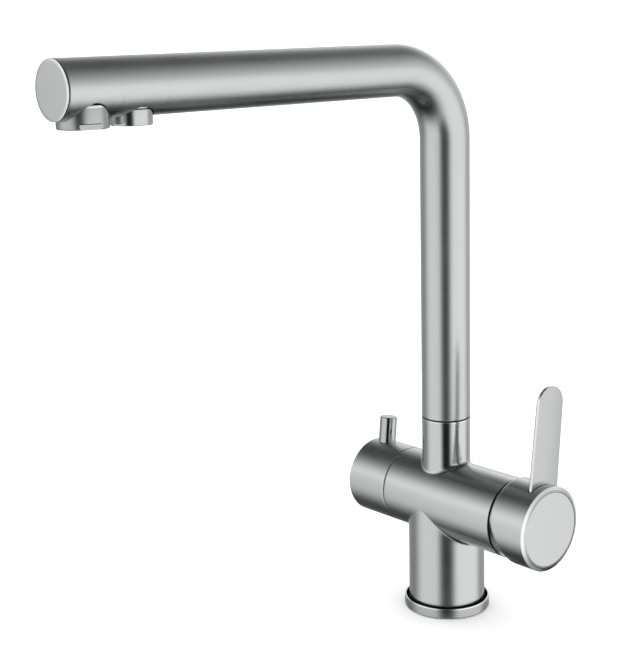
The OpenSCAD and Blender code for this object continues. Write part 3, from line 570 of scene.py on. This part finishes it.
bodyLow, bodyHigh = boxOf("tap_body")
neckHigh = boxOf("swivel_neck")[1]
casting = {"barrel": bodyHigh[1], "axis": bodyHigh[2] - bodyHigh[1], "left": -bodyLow[0],
           "right": bodyHigh[0], "column": 22.25, "columnFillet": 2.2, "neck": neckHigh[0],
           "neckTop": neckHigh[2], "neckFillet": 2.6, "neckBevel": 0.15, "edge": 0.45, "rimStep": 0.01,
           "shadowWide": 1.9, "shadowNarrow": 0.3, "shadowTurn": 50, "shadowDeep": 0.4,
           "footShadow": (4.9, 6.1), "footRecess": 0.25, "bandLow": 95.0, "bandHigh": 110.0,
           "sealSeat": (20.8, 1.5), "blockSeat": (18.25, 17), "nutSeat": (19.35, 42),
           "cartridgeSeat": (17.55, 18), "valveSeat": (11.05, -15), "swivelSeat": (10.5, 82),
           "riserSealSeat": (3.9, 80), "riserSeat": (3.1, 73.4),
           "stopHole": {"round": 2.6, "lip": 0.2, "depth": 0.7, "spread": 5}, "around": 96, "arc": 8,
           "barrelRows": 24, "sideSteps": 14, "columnRows": 20, "neckRows": (4, 3), "bandRows": 12}


def filletEnds(r, ball, way, theta):
    # a ball of the fillet's radius rolls on the upright pipe and the barrel; way is 1 above it, -1 below:
    # centre = (a cos t, a sin t, axis + way sqrt(B^2 - (a sin t)^2)) with a = r + ball and B = barrel + ball
    a, b = r + ball, casting["barrel"] + ball
    rise = np.sqrt(b ** 2 - (a * np.sin(theta)) ** 2)
    centre = np.stack([a * np.cos(theta), a * np.sin(theta), casting["axis"] + way * rise], -1)
    toPipe = np.stack([-np.cos(theta), -np.sin(theta), 0 * theta], -1)
    toBarrel = np.stack([0 * theta, -a * np.sin(theta) / b, -way * rise / b], -1)
    return centre, toPipe, toBarrel


def filletSkin(r, ball, way, theta, finish):
    # arc on the ball between its two touching points, for each place of its centre
    centre, toPipe, toBarrel = filletEnds(r, ball, way, theta)
    t = np.linspace(0, 1, casting["arc"] + 1)[:, None, None]
    angle = np.arccos(np.clip((toPipe * toBarrel).sum(-1), -1, 1))[None, :, None]
    swing = (np.sin((1 - t) * angle) * toPipe + np.sin(t * angle) * toBarrel) / np.sin(angle)
    grid = centre + ball * swing
    return grid, np.stack([lengths(grid), theta * r + 0 * t[..., 0]], -1), finish


def uprightPlace(s, a, r):
    # a level circle at height s round the column's axis: x = r cos a, y = r sin a
    return np.stack([r * np.cos(a), r * np.sin(a), s], -1)


def uprightSkin(theta, r, zFrom, zTo, steps, finish):
    # straight wall of an upright pipe between two heights that may change round it
    z = zFrom + (zTo - zFrom) * np.linspace(0, 1, steps + 1)[:, None] + 0 * theta
    return uprightPlace(z, theta + 0 * z, r), np.stack([z, theta * r + 0 * z], -1), finish


def barrelAngles():
    # angles round the barrel from the top towards -Y, dense where the fillets touch it,
    # and how far from the middle its skin starts at each
    c = casting
    quarter = np.linspace(0, quarterTurn, c["around"] // 4 + 1)
    neckArm, neckBall = c["neck"] + c["neckFillet"], c["barrel"] + c["neckFillet"]
    columnArm, columnBall = c["column"] + c["columnFillet"], c["barrel"] + c["columnFillet"]
    top = np.arcsin(neckArm * np.sin(quarter) / neckBall)
    low = math.pi - np.arcsin(columnArm * np.sin(quarter) / columnBall)[::-1]
    side = np.linspace(top[-1], low[0], c["sideSteps"] + 1)[1:-1]
    half = np.concatenate([top, side, low])
    start = np.concatenate([neckArm * np.cos(quarter), 0 * side, columnArm * np.cos(quarter)[::-1]])
    angles = np.concatenate([half, tau - half[-2::-1]])
    return angles, np.concatenate([start, start[-2::-1]])


def barrelPlace(s, a, r):
    # an upright circle at x = s round the barrel's axis: y = -r sin a, z = axis + r cos a
    return np.stack([s, -r * np.sin(a), casting["axis"] + r * np.cos(a)], -1)


def shadowStart(angles):
    # the shadow gap beside the mixer handle is widest at shadowTurn from the top:
    # narrow + (wide - narrow) w^2 with w = (1 + cos(angle - shadowTurn)) / 2
    c = casting
    w = (1 + np.cos(angles - math.radians(c["shadowTurn"]))) / 2
    return c["right"] - c["shadowNarrow"] - (c["shadowWide"] - c["shadowNarrow"]) * w ** 2


def barrelWalls(angles, start, gap):
    # on each side of the column, straight from the fillets to the end
    c = casting
    t = np.linspace(0, 1, c["barrelRows"] + 1)[:, None]
    sheets = []
    for way, end in ((1, gap), (-1, c["left"] - c["edge"])):
        x = way * (start + (end - start) * t)
        uv = np.stack([x, angles * c["barrel"] + 0 * x], -1)
        sheets.append((barrelPlace(x, angles + 0 * x, c["barrel"]), uv, satinSteel))
    return sheets


def columnSheets(theta):
    # fillet, wall, a turned recess behind the base ring painted dark as shade, rim, seal groove and the
    # inlet block's socket
    c = casting
    r, sunk = c["column"], c["column"] - c["footRecess"]
    low, high = c["footShadow"]
    head = filletEnds(r, c["columnFillet"], -1, theta)[0][:, 2]
    recess = np.array([(r, high), (sunk, high), (sunk, low), (r, low)])
    foot = rounded([(r, low), (r, 0)] + boredSeats(0, c["sealSeat"], c["blockSeat"]), [c["edge"]])
    return [filletSkin(r, c["columnFillet"], -1, theta, satinSteel),
            uprightSkin(theta, r, head, 0 * theta + high, c["columnRows"], satinSteel),
            roundSheet(uprightPlace, recess, theta, paintedShadeSteel),
            roundSheet(uprightPlace, foot, theta, satinSteel)]


def barrelEnds(angles, gap):
    # the shadow gap painted dark as shade, nut seat and cartridge seat at the right, a bright rim coloured
    # white as a painted highlight and the valve seat painted dark as shade at the left
    c = casting
    r, e, right, left = c["barrel"], c["edge"], c["right"], -c["left"]
    low, lip = r - c["shadowDeep"], r - e - c["rimStep"]
    radius = np.array([r, low, low])[:, None] + 0 * angles
    x = np.stack([gap, gap, right + 0 * gap])
    shadow = barrelPlace(x, angles + 0 * x, radius), np.stack([x, angles * low + 0 * x], -1), paintedShadeSteel
    rightEnd = np.array([(low, right)] + boredSeats(right, c["nutSeat"], c["cartridgeSeat"]))
    leftRim = rounded([(r, left + e), (r, left), (lip, left)], [e])
    leftEnd = np.array([(lip, left)] + boredSeats(left, c["valveSeat"]))
    ends = ((rightEnd, satinSteel), (leftRim, brightCutHighlightSteel), (leftEnd, paintedShadeSteel))
    return [shadow] + [roundSheet(barrelPlace, line, angles, finish) for line, finish in ends]


def neckSheets(theta):
    # fillet, wall with the stop screw's hole painted dark as shade, top bevel coloured white as a painted
    # highlight, swivel bore and the riser's socket painted dark as shade
    c = casting
    r, e, top = c["neck"], c["edge"], c["neckTop"]
    bevelLow, bevelIn = top - e, r - e * c["neckBevel"]
    foot = filletEnds(r, c["neckFillet"], 1, theta)[0][:, 2]
    below, above = c["neckRows"]
    bevel = np.array([(r, bevelLow), (bevelIn, top)])
    bores = np.array([(bevelIn, top)] + boredSeats(top, c["swivelSeat"], c["riserSealSeat"], c["riserSeat"]))
    stop = {**c["stopHole"], "s": middleOf("spout_stop_screw", 2), "turn": quarterTurn, "finish": paintedShadeSteel}
    rows = np.linspace(c["bandLow"], c["bandHigh"], c["bandRows"] + 1)
    return [filletSkin(r, c["neckFillet"], 1, theta, fineSteel),
            uprightSkin(theta, r, foot, 0 * theta + c["bandLow"], below, fineSteel),
            uprightSkin(theta, r, c["bandHigh"], 0 * theta + bevelLow, above, fineSteel),
            roundSheet(uprightPlace, bevel, theta, brightCutHighlightSteel),
            roundSheet(uprightPlace, bores, theta, paintedShadeSteel),
            *piercedBand(uprightPlace, r, rows, theta, [stop], fineSteel)]


def bodyCasting():
    theta = ringAngles(casting["around"])
    angles, start = barrelAngles()
    gap = shadowStart(angles)
    sheets = barrelWalls(angles, start, gap) + columnSheets(theta)
    return sheets + barrelEnds(angles, gap) + neckSheets(theta)


makePiece("body_casting_skin", bodyCasting(), "tap_body", ["tap_body", "swivel_neck"])


# base ring: a turned section with a bevel coloured white as a painted highlight and an open groove round the
# column painted dark as shade

ringHigh = boxOf("base_ring")[1]
ring = {"radius": ringHigh[0], "height": ringHigh[2], "foot": 2.0, "grip": 22.3, "lip": 24.15,
        "sideLow": 2.8, "edge": 0.6, "edgeLean": 0.2, "topEdge": 0.05, "lipEdge": 0.2, "footEdge": 0.3,
        "grooveDeep": 0.5}


def baseRing():
    a, r, top, lip, grip = ringAngles(), ring["radius"], ring["height"], ring["lip"], ring["grip"]
    low, foot, shoulder, mouth = ring["sideLow"], ring["foot"], top - ring["edge"], top - ring["grooveDeep"]
    side = np.array([(r, low), (r, shoulder)])
    bevel = rounded([(r, shoulder), (r - ring["edge"] * ring["edgeLean"], top), (lip, top), (lip, mouth)],
                    [ring["topEdge"], ring["lipEdge"]])
    groove = np.array([(lip, mouth), (lip, foot), (grip, foot), (grip, 0)])
    under = rounded([(grip, 0), (r, 0), (r, low)], [ring["footEdge"]])
    rings = ((side, ringSteel), (bevel, brightCutHighlightSteel), (groove, paintedShadeSteel), (under, ringSteel))
    return [roundSheet(uprightPlace, line, a, finish) for line, finish in rings]


makePiece("base_ring_skin", baseRing(), "tap_body", ["base_ring"])


# mixer handle: a sleeve on the barrel's axis, leaning back, cut low on its inner side so that it can tip

handleLow, handleHigh = boxOf("mixer_handle")
discLow, discHigh = boxOf("mixer_end_disc")
leverLow, leverHigh = boxOf("mixer_lever")
handle = {"radius": halfOf("mixer_handle", 2), "start": handleLow[0], "end": handleHigh[0], "hub": 14.0,
          "bore": 20.1, "lean": 6.0, "pivot": 36.98, "lift": 20.0, "edge": 0.6, "edgeCut": 0.3,
          "brightWide": 1.8, "brightDeep": 0.8, "brightStep": 0.15, "brightEdge": 0.12, "innerWide": 0.9,
          "innerDeep": 0.55, "innerEdge": 0.2, "seatEdge": 0.08, "seatMouth": 0.25, "discGap": 0.2,
          "bandStart": 64.9, "bandEnd": 74.5, "wallRows": 8, "bandRows": 16, "grubDeep": 13,
          "slotGap": (0.35, 0.15), "slot": {"lip": 0.12, "depth": 2.5, "spread": 16}}
disc = {"radius": halfOf("mixer_end_disc", 2), "back": discLow[0], "face": discHigh[0], "backEdge": 0.05,
        "edge": 0.15, "step": 1.0}
lever = {"outer": leverHigh[0], "thick": leverHigh[0] - leverLow[0], "width": 22.5, "tip": 20.5,
         "reach": 79.0, "root": 14.9, "frontEdge": 0.2, "backEdge": 1.0, "sideSteps": 29, "tipSteps": 48,
         "edgeSteps": 5}
# both handles have a grub screw underneath, the floor of its hole painted dark as shade
grubHole = {"turn": 3 * quarterTurn, "round": 2.6, "lip": 0.25, "spread": 6, "finish": paintedShadeSteel}


def leaned(x, y, z):
    # turns points about the barrel's axis, back from the spout
    a = -math.radians(handle["lean"])
    back, up = y * math.cos(a) - z * math.sin(a), y * math.sin(a) + z * math.cos(a)
    return np.stack([x, back, casting["axis"] + up], -1)


def handlePlace(s, a, r):
    # a circle round the barrel's axis at x = s; a = 0 is the back, a quarter turn is the top
    return leaned(s, r * np.cos(a), r * np.sin(a))


def handleStart(r, a):
    # inner edge: the plane x = start, or lower down the plane tipped by the lift angle about the pivot
    h = handle
    reach, lift = h["start"] - h["pivot"], math.radians(h["lift"])
    return h["pivot"] + np.maximum(reach, (reach - r * np.sin(a) * math.sin(lift)) / math.cos(lift))


def handleSleeve(a):
    # rows of (radius, station): hub, bore, cut edge and the straight wall out to the band
    h = handle
    r, e, hub, cut = h["radius"], h["edge"], h["end"] - h["hub"], h["edge"] * h["edgeCut"]
    rows = [(0, hub + 0 * a), (h["bore"], hub + 0 * a)]
    rows += [(k, handleStart(k, a) + off) for k, off in ((h["bore"], 0), (r - e, 0), (r - cut, cut), (r, e))]
    first = handleStart(r, a) + e
    rows += [(r, first + (h["bandStart"] - first) * k) for k in np.linspace(0, 1, h["wallRows"] + 1)[1:]]
    radius, x = np.array([row[0] for row in rows])[:, None] + 0 * a, np.stack([row[1] for row in rows])
    grid, uv = handlePlace(x, a + 0 * x, radius), np.stack([x + r - radius, a * r + 0 * x], -1)
    # rows 3 to 5 are the bright cut edge, coloured white as a painted highlight
    return [(grid[:4], uv[:4], satinSteel), (grid[3:6], uv[3:6], brightCutHighlightSteel),
            (grid[5:], uv[5:], satinSteel)]


def mixerHandle():
    h = handle
    a, r, end = ringAngles(), h["radius"], h["end"]
    # band with the lever's slot on top and the grub screw's hole below, both painted dark inside as shade
    slotLong, slotWide = lever["thick"] / 2 + h["slotGap"][0], lever["width"] / 2 + h["slotGap"][1]
    slot = {**h["slot"], "s": lever["outer"] - lever["thick"] / 2, "turn": quarterTurn,
            "slot": (slotLong, slotWide), "finish": paintedShadeSteel}
    grub = {**grubHole, "s": middleOf("mixer_grub_screw", 0), "depth": h["grubDeep"]}
    rows = np.linspace(h["bandStart"], h["bandEnd"], h["bandRows"] + 1)
    sheets = handleSleeve(a) + piercedBand(handlePlace, r, rows, a, [slot, grub], satinSteel)
    # rim: bright cut bevel coloured white as a painted highlight, a second flatter bevel, and the seat of
    # the end disc painted dark as shade
    brightStart = end - h["brightDeep"] - h["innerDeep"]
    brightEnd = (r - h["brightWide"], end - h["innerDeep"])
    seat, mouth, wallEnd = disc["radius"] + h["discGap"], end - h["seatMouth"], brightStart - h["brightStep"]
    wall = np.array([(r, h["bandEnd"]), (r, wallEnd)])
    bright = rounded([(r, wallEnd), (r, brightStart), brightEnd], [h["brightEdge"]])
    inner = rounded([brightEnd, (brightEnd[0] - h["innerWide"], end), (seat, end), (seat, mouth)],
                    [h["innerEdge"], h["seatEdge"]])
    bed = np.array([(seat, mouth), (seat, disc["back"]), (0, disc["back"])])
    rim = ((wall, satinSteel), (bright, brightCutHighlightSteel), (inner, satinSteel), (bed, paintedShadeSteel))
    return sheets + [roundSheet(handlePlace, line, a, finish) for line, finish in rim]


def endDisc():
    # flat, with its grain in rings
    d = disc
    line = rounded([(0, d["back"]), (d["radius"], d["back"]), (d["radius"], d["face"]), (0, d["face"])],
                   [d["backEdge"], d["edge"]])
    return [roundSheet(handlePlace, dense(line, d["step"]), ringAngles(), facedSteel)]


def leverBlade():
    # a flat tapered bar with a round tip: rings of its outline shrink towards its middle line;
    # walk goes up one side (0 to 1), round the tip (1 to 2) and down the other side (2 to 3)
    v = lever
    e, k, w, n = v["frontEdge"], v["backEdge"], v["thick"], v["edgeSteps"] + 1
    walk = np.concatenate([np.linspace(0, 1, v["sideSteps"], endpoint=False),
                           np.linspace(1, 2, v["tipSteps"], endpoint=False),
                           np.linspace(2, 3, v["sideSteps"] + 1)])
    climb = np.clip(np.minimum(walk, 3 - walk), 0, 1)  # 0 at the root, 1 from the start of the tip's arc
    arc = np.clip(walk - 1, 0, 1) * math.pi
    half = (v["width"] + (v["tip"] - v["width"]) * climb) / 2
    bend = np.linspace(0, quarterTurn, n)
    share = np.concatenate([[0], np.ones(2 * n), [0]])[:, None]  # 0 on the middle line
    inset = np.concatenate([[0], e * (1 - np.sin(bend)), k * (1 - np.cos(bend)), [0]])[:, None]
    depth = np.concatenate([[0], e * (1 - np.cos(bend)), w - k * (1 - np.sin(bend)), [w]])[:, None]
    reach = share * (half - inset)
    y = -reach * np.cos(arc)
    z = v["root"] + (v["reach"] - v["tip"] / 2 - v["root"]) * climb + reach * np.sin(arc)
    grid, uv = leaned(v["outer"] - depth + 0 * y, y, z), np.stack([z, y], -1)
    foot = np.stack([grid[:, 0], grid[:, -1]], 1)  # closes the bar's root, which is inside the handle
    # the rounded sides are coloured white as a painted highlight
    return [(grid[:2], uv[:2], milledSteel), (grid[1:n + 2], uv[1:n + 2], brightCutHighlightSteel),
            (grid[n + 1:], uv[n + 1:], milledSteel), (foot, np.stack([uv[:, 0], uv[:, -1]], 1), milledSteel)]


makePiece("mixer_handle_skin", mixerHandle(), "mixer_handle", ["mixer_handle"])
makePiece("mixer_end_disc_skin", endDisc(), "mixer_handle", ["mixer_end_disc"])
makePiece("mixer_lever_skin", leverBlade(), "mixer_handle", ["mixer_lever"])


# filtered-water handle: a turned cup with a closed end, and its upright pin in a fine gap

knobLow, knobHigh = boxOf("filter_handle")
knob = {"radius": halfOf("filter_handle", 2), "start": knobHigh[0], "end": knobLow[0], "hollow": 12.0,
        "bore": 20.1, "edge": 0.6, "rim": 0.45, "rimStep": 0.01, "bandStart": -44.2, "bandEnd": -58.4,
        "bandRows": 20, "step": 2.5, "grubDeep": 11.5, "pinHole": {"lip": 0.15, "depth": 1.0, "spread": 10}}
pin = {"radius": halfOf("filter_pin", 0), "x": middleOf("filter_pin", 0), "root": 10.5, "reach": 37.5,
       "edge": 0.5, "gap": 0.35, "around": 96, "step": 1.5}


def filterHandle():
    k = knob
    a, r, start, hub = ringAngles(), k["radius"], k["start"], k["start"] - k["hollow"]
    lip = r - k["rim"] - k["rimStep"]
    cup = np.array([(0, hub), (k["bore"], hub), (k["bore"], start), (lip, start)])
    rim = rounded([(lip, start), (r, start), (r, k["bandStart"])], [k["rim"]])
    end = rounded([(r, k["bandEnd"]), (r, k["end"]), (0, k["end"])], [k["edge"]])
    # the inside of the cup and the floors of the holes are painted dark as shade
    lines = ((cup, paintedShadeSteel), (rim, satinSteel), (end, satinSteel))
    sheets = [roundSheet(handlePlace, dense(line, k["step"]), a, finish) for line, finish in lines]
    pinHole = {**k["pinHole"], "s": pin["x"], "turn": quarterTurn, "round": pin["radius"] + pin["gap"],
               "finish": paintedShadeSteel}
    grub = {**grubHole, "s": middleOf("filter_grub_screw", 0), "depth": k["grubDeep"]}
    rows = np.linspace(k["bandStart"], k["bandEnd"], k["bandRows"] + 1)
    return sheets + piercedBand(handlePlace, r, rows, a, [pinHole, grub], satinSteel)


def pinPlace(s, a, r):
    # a circle at height s over the barrel's axis, leaned back with the handle
    return leaned(pin["x"] + r * np.cos(a), r * np.sin(a), s)


def pinBar():
    p = pin
    line = rounded([(0, p["root"]), (p["radius"], p["root"]), (p["radius"], p["reach"]), (0, p["reach"])],
                   [0, p["edge"]])
    return [roundSheet(pinPlace, dense(line, p["step"]), ringAngles(p["around"]), polishedSteel)]


makePiece("filter_handle_skin", filterHandle(), "filter_handle", ["filter_handle"])
makePiece("filter_pin_skin", pinBar(), "filter_handle", ["filter_pin"])


# nodes that keep their CAD skin take the finish of their slot

slotFinish = {"satin_steel": plainSatin, "polished_steel": polishedSteel, "screw_steel": screwSteel,
              "brass": turnedBrass, "seal_rubber": mouldedRubber, "slide_plastic": mouldedAcetal,
              "pale_plastic": palePlastic, "ceramic": lappedAlumina}
for part in frame["record"]["subparts"]:
    node = frame["nodes"][part["node"]]
    node.data.materials.clear()
    node.data.materials.append(slotFinish[part["material_slot"]])
print("CAD nodes finished:", len(frame["nodes"]))


# camera: place and lens fitted to the photograph; lengths in mm, focal and frame in pixels

view = {"target": (0, 0, 165), "azimuth": 48.89, "elevation": 11.42, "roll": -1.36, "distance": 801.46,
        "aside": -75.26, "raised": 18.98, "focal": 1390.98, "frame": (630, 660), "centreRow": 300,
        "sensor": 36, "near": 10}


def placeCamera():
    v = view
    az, el, roll = (math.radians(v[key]) for key in ("azimuth", "elevation", "roll"))
    back = np.array([math.sin(az) * math.cos(el), -math.cos(az) * math.cos(el), math.sin(el)])
    right = np.array([math.cos(az), math.sin(az), 0])
    up = np.cross(back, right)
    right, up = right * math.cos(roll) + up * math.sin(roll), up * math.cos(roll) - right * math.sin(roll)
    place = (np.array(v["target"]) + back * v["distance"] + right * v["aside"] + up * v["raised"]) * mm
    longSide = max(v["frame"])  # the sensor's width lies along it
    data = bpy.data.cameras.new("camera")
    data.sensor_width = v["sensor"]
    data.lens = v["focal"] * v["sensor"] / longSide
    data.shift_y = (v["centreRow"] - v["frame"][1] / 2) / longSide
    data.clip_start = v["near"] * mm
    camera = bpy.data.objects.new("camera", data)
    rows = np.column_stack([right, up, back, place]).tolist()
    camera.matrix_world = Matrix(rows + [[0, 0, 0, 1]])
    bpy.context.scene.collection.objects.link(camera)
    bpy.context.scene.camera = camera


placeCamera()


# stage: a pale floor that the metal doesn't mirror, just under the object so that no faces share a plane

ground = {"colour": "#F7F7F6", "cloud": "#F5F5F4", "cloudsPerMetre": 3.0, "reach": 6000, "drop": 0.5}


def paleFloor():
    half = ground["reach"] * mm
    corners = [(-half, -half, 0), (half, -half, 0), (half, half, 0), (-half, half, 0)]
    mesh = bpy.data.meshes.new("floor")
    mesh.from_pydata(corners, [], [(0, 1, 2, 3)])
    material, tree = newMaterial("floor_matt_paint")
    place = addNode(tree, "ShaderNodeTexCoord")
    cloud = addNode(tree, "ShaderNodeTexNoise", {
        "Vector": place.outputs["Object"], "Scale": ground["cloudsPerMetre"]})
    tint = addNode(tree, "ShaderNodeMix", {
        "Factor": cloud.outputs["Fac"], "A": linear(ground["cloud"]), "B": linear(ground["colour"])},
        data_type="RGBA")
    shader = addNode(tree, "ShaderNodeBsdfDiffuse", {"Color": tint.outputs["Result"]})
    addNode(tree, "ShaderNodeOutputMaterial", {"Surface": shader.outputs["BSDF"]})
    mesh.materials.append(material)
    floor = bpy.data.objects.new("floor", mesh)
    floor.location.z = -ground["drop"] * mm
    floor.visible_glossy = False
    bpy.context.scene.collection.objects.link(floor)


# light tent: what the metal mirrors, by direction; turn goes round from the camera's side, behind goes round
# from the rear and rise goes up from level, all in degrees
# a ramp is its angle, from, to, first and last value; a wall is its strength and the ramps that bound it

tent = {"facing": -46.6, "fill": 1.55, "shade": 0.012, "shadeColour": "#EEFAF9", "lightColour": "#FFFFFF",
        "ramps": {"foot": ("rise", -68, -26, 0, 1), "lower": ("rise", -4, 19, 1, 0),
                  "upper": ("rise", -4, 19, 0, 1),
                  "rightIn": ("turn", 10, 35, 0, 1), "rightOut": ("turn", 97, 127, 1, 0.03),
                  "leftIn": ("turn", -32, -10, 1, 0), "leftOut": ("turn", -126, -75, 0.14, 1),
                  "rightHighIn": ("turn", 11, 52, 0, 1), "rightHighOut": ("turn", 104, 132, 1, 0.32),
                  "rightTop": ("rise", -6, 69, 1, 0),
                  "leftHighIn": ("turn", -76, -14, 1, 0), "leftHighOut": ("turn", -132, -88, 0.02, 1),
                  "leftTop": ("rise", 4, 57, 1, 0),
                  "rearIn": ("behind", -80, -45, 0, 1), "rearSide": ("behind", -20, 50, 1, 0.42),
                  "rearOut": ("behind", 45, 80, 1, 0), "rearFoot": ("rise", -44, -14, 0, 1),
                  "rearTop": ("rise", 0, 38, 1, 0),
                  "rearHighIn": ("behind", -60, -8, 0, 1), "rearHighOut": ("behind", 2, 36, 1, 0),
                  "rearHighFoot": ("rise", -12, 24, 0, 1), "rearHighTop": ("rise", 20, 52, 1, 0),
                  "frontIn": ("turn", -38, -8, 0, 1), "frontOut": ("turn", 8, 38, 1, 0),
                  "frontTop": ("rise", -45, -26, 1, 0)},
        "walls": {"right": (1.02, "foot", "lower", "rightIn", "rightOut"),
                  "left": (0.87, "foot", "lower", "leftIn", "leftOut"),
                  "rightHigh": (0.8, "upper", "rightTop", "rightHighIn", "rightHighOut"),
                  "leftHigh": (1.13, "upper", "leftTop", "leftHighIn", "leftHighOut"),
                  "rear": (0.5, "rearIn", "rearSide", "rearOut", "rearFoot", "rearTop"),
                  "rearHigh": (0.6, "rearHighIn", "rearHighOut", "rearHighFoot", "rearHighTop"),
                  "front": (0.8, "frontIn", "frontOut", "frontTop", "foot")}}


def lightTent():
    # soft walls at both sides, each in a lower and an upper part, two weaker ones at the rear and one low
    # at the front; it is dark overhead, far below and in a strip at the camera, which the tubes mirror
    world = bpy.data.worlds.new("light_tent")
    bpy.context.scene.world = world
    world.use_nodes = True
    tree = world.node_tree
    tree.nodes.clear()
    place = addNode(tree, "ShaderNodeTexCoord")
    facing = addNode(tree, "ShaderNodeVectorRotate", {
        "Vector": place.outputs["Generated"], "Angle": -math.radians(tent["facing"])},
        rotation_type="Z_AXIS")
    xyz = addNode(tree, "ShaderNodeSeparateXYZ", {"Vector": facing.outputs["Vector"]})
    turnedX = addNode(tree, "ShaderNodeMath", {0: xyz.outputs["X"], 1: -1.0}, operation="MULTIPLY")
    turnedY = addNode(tree, "ShaderNodeMath", {0: xyz.outputs["Y"], 1: -1.0}, operation="MULTIPLY")
    turn = addNode(tree, "ShaderNodeMath", {0: xyz.outputs["Y"], 1: xyz.outputs["X"]}, operation="ARCTAN2")
    behind = addNode(tree, "ShaderNodeMath", {0: turnedY.outputs["Value"], 1: turnedX.outputs["Value"]},
                     operation="ARCTAN2")
    rise = addNode(tree, "ShaderNodeMath", {0: xyz.outputs["Z"]}, operation="ARCSINE")
    angles = {"turn": turn, "behind": behind, "rise": rise}
    level = {}
    for name, (angle, start, end, first, last) in tent["ramps"].items():
        ramp = addNode(tree, "ShaderNodeMapRange", {
            "Value": angles[angle].outputs["Value"], "From Min": math.radians(start),
            "From Max": math.radians(end), "To Min": first, "To Max": last}, interpolation_type="SMOOTHSTEP")
        level[name] = ramp.outputs["Result"]
    # each wall is its strength times its ramps, and the walls are added to the shade
    glow = tent["shade"]
    for light, *ramps in tent["walls"].values():
        for name in ramps:
            times = addNode(tree, "ShaderNodeMath", {0: light, 1: level[name]}, operation="MULTIPLY")
            light = times.outputs["Value"]
        glow = addNode(tree, "ShaderNodeMath", {0: glow, 1: light}, operation="ADD").outputs["Value"]
    white = linear(tent["lightColour"])
    colour = addNode(tree, "ShaderNodeMix", {
        "Factor": glow, "A": linear(tent["shadeColour"]), "B": white}, data_type="RGBA")
    mirrored = addNode(tree, "ShaderNodeBackground", {"Color": colour.outputs["Result"], "Strength": glow})
    fill = addNode(tree, "ShaderNodeBackground", {"Color": white, "Strength": tent["fill"]})
    path = addNode(tree, "ShaderNodeLightPath")
    both = addNode(tree, "ShaderNodeMixShader", {
        0: path.outputs["Is Glossy Ray"], 1: fill.outputs["Background"], 2: mirrored.outputs["Background"]})
    addNode(tree, "ShaderNodeOutputWorld", {"Surface": both.outputs["Shader"]})


paleFloor()
lightTent()
bpy.context.scene.view_settings.view_transform = "Standard"
print("camera and light ready")
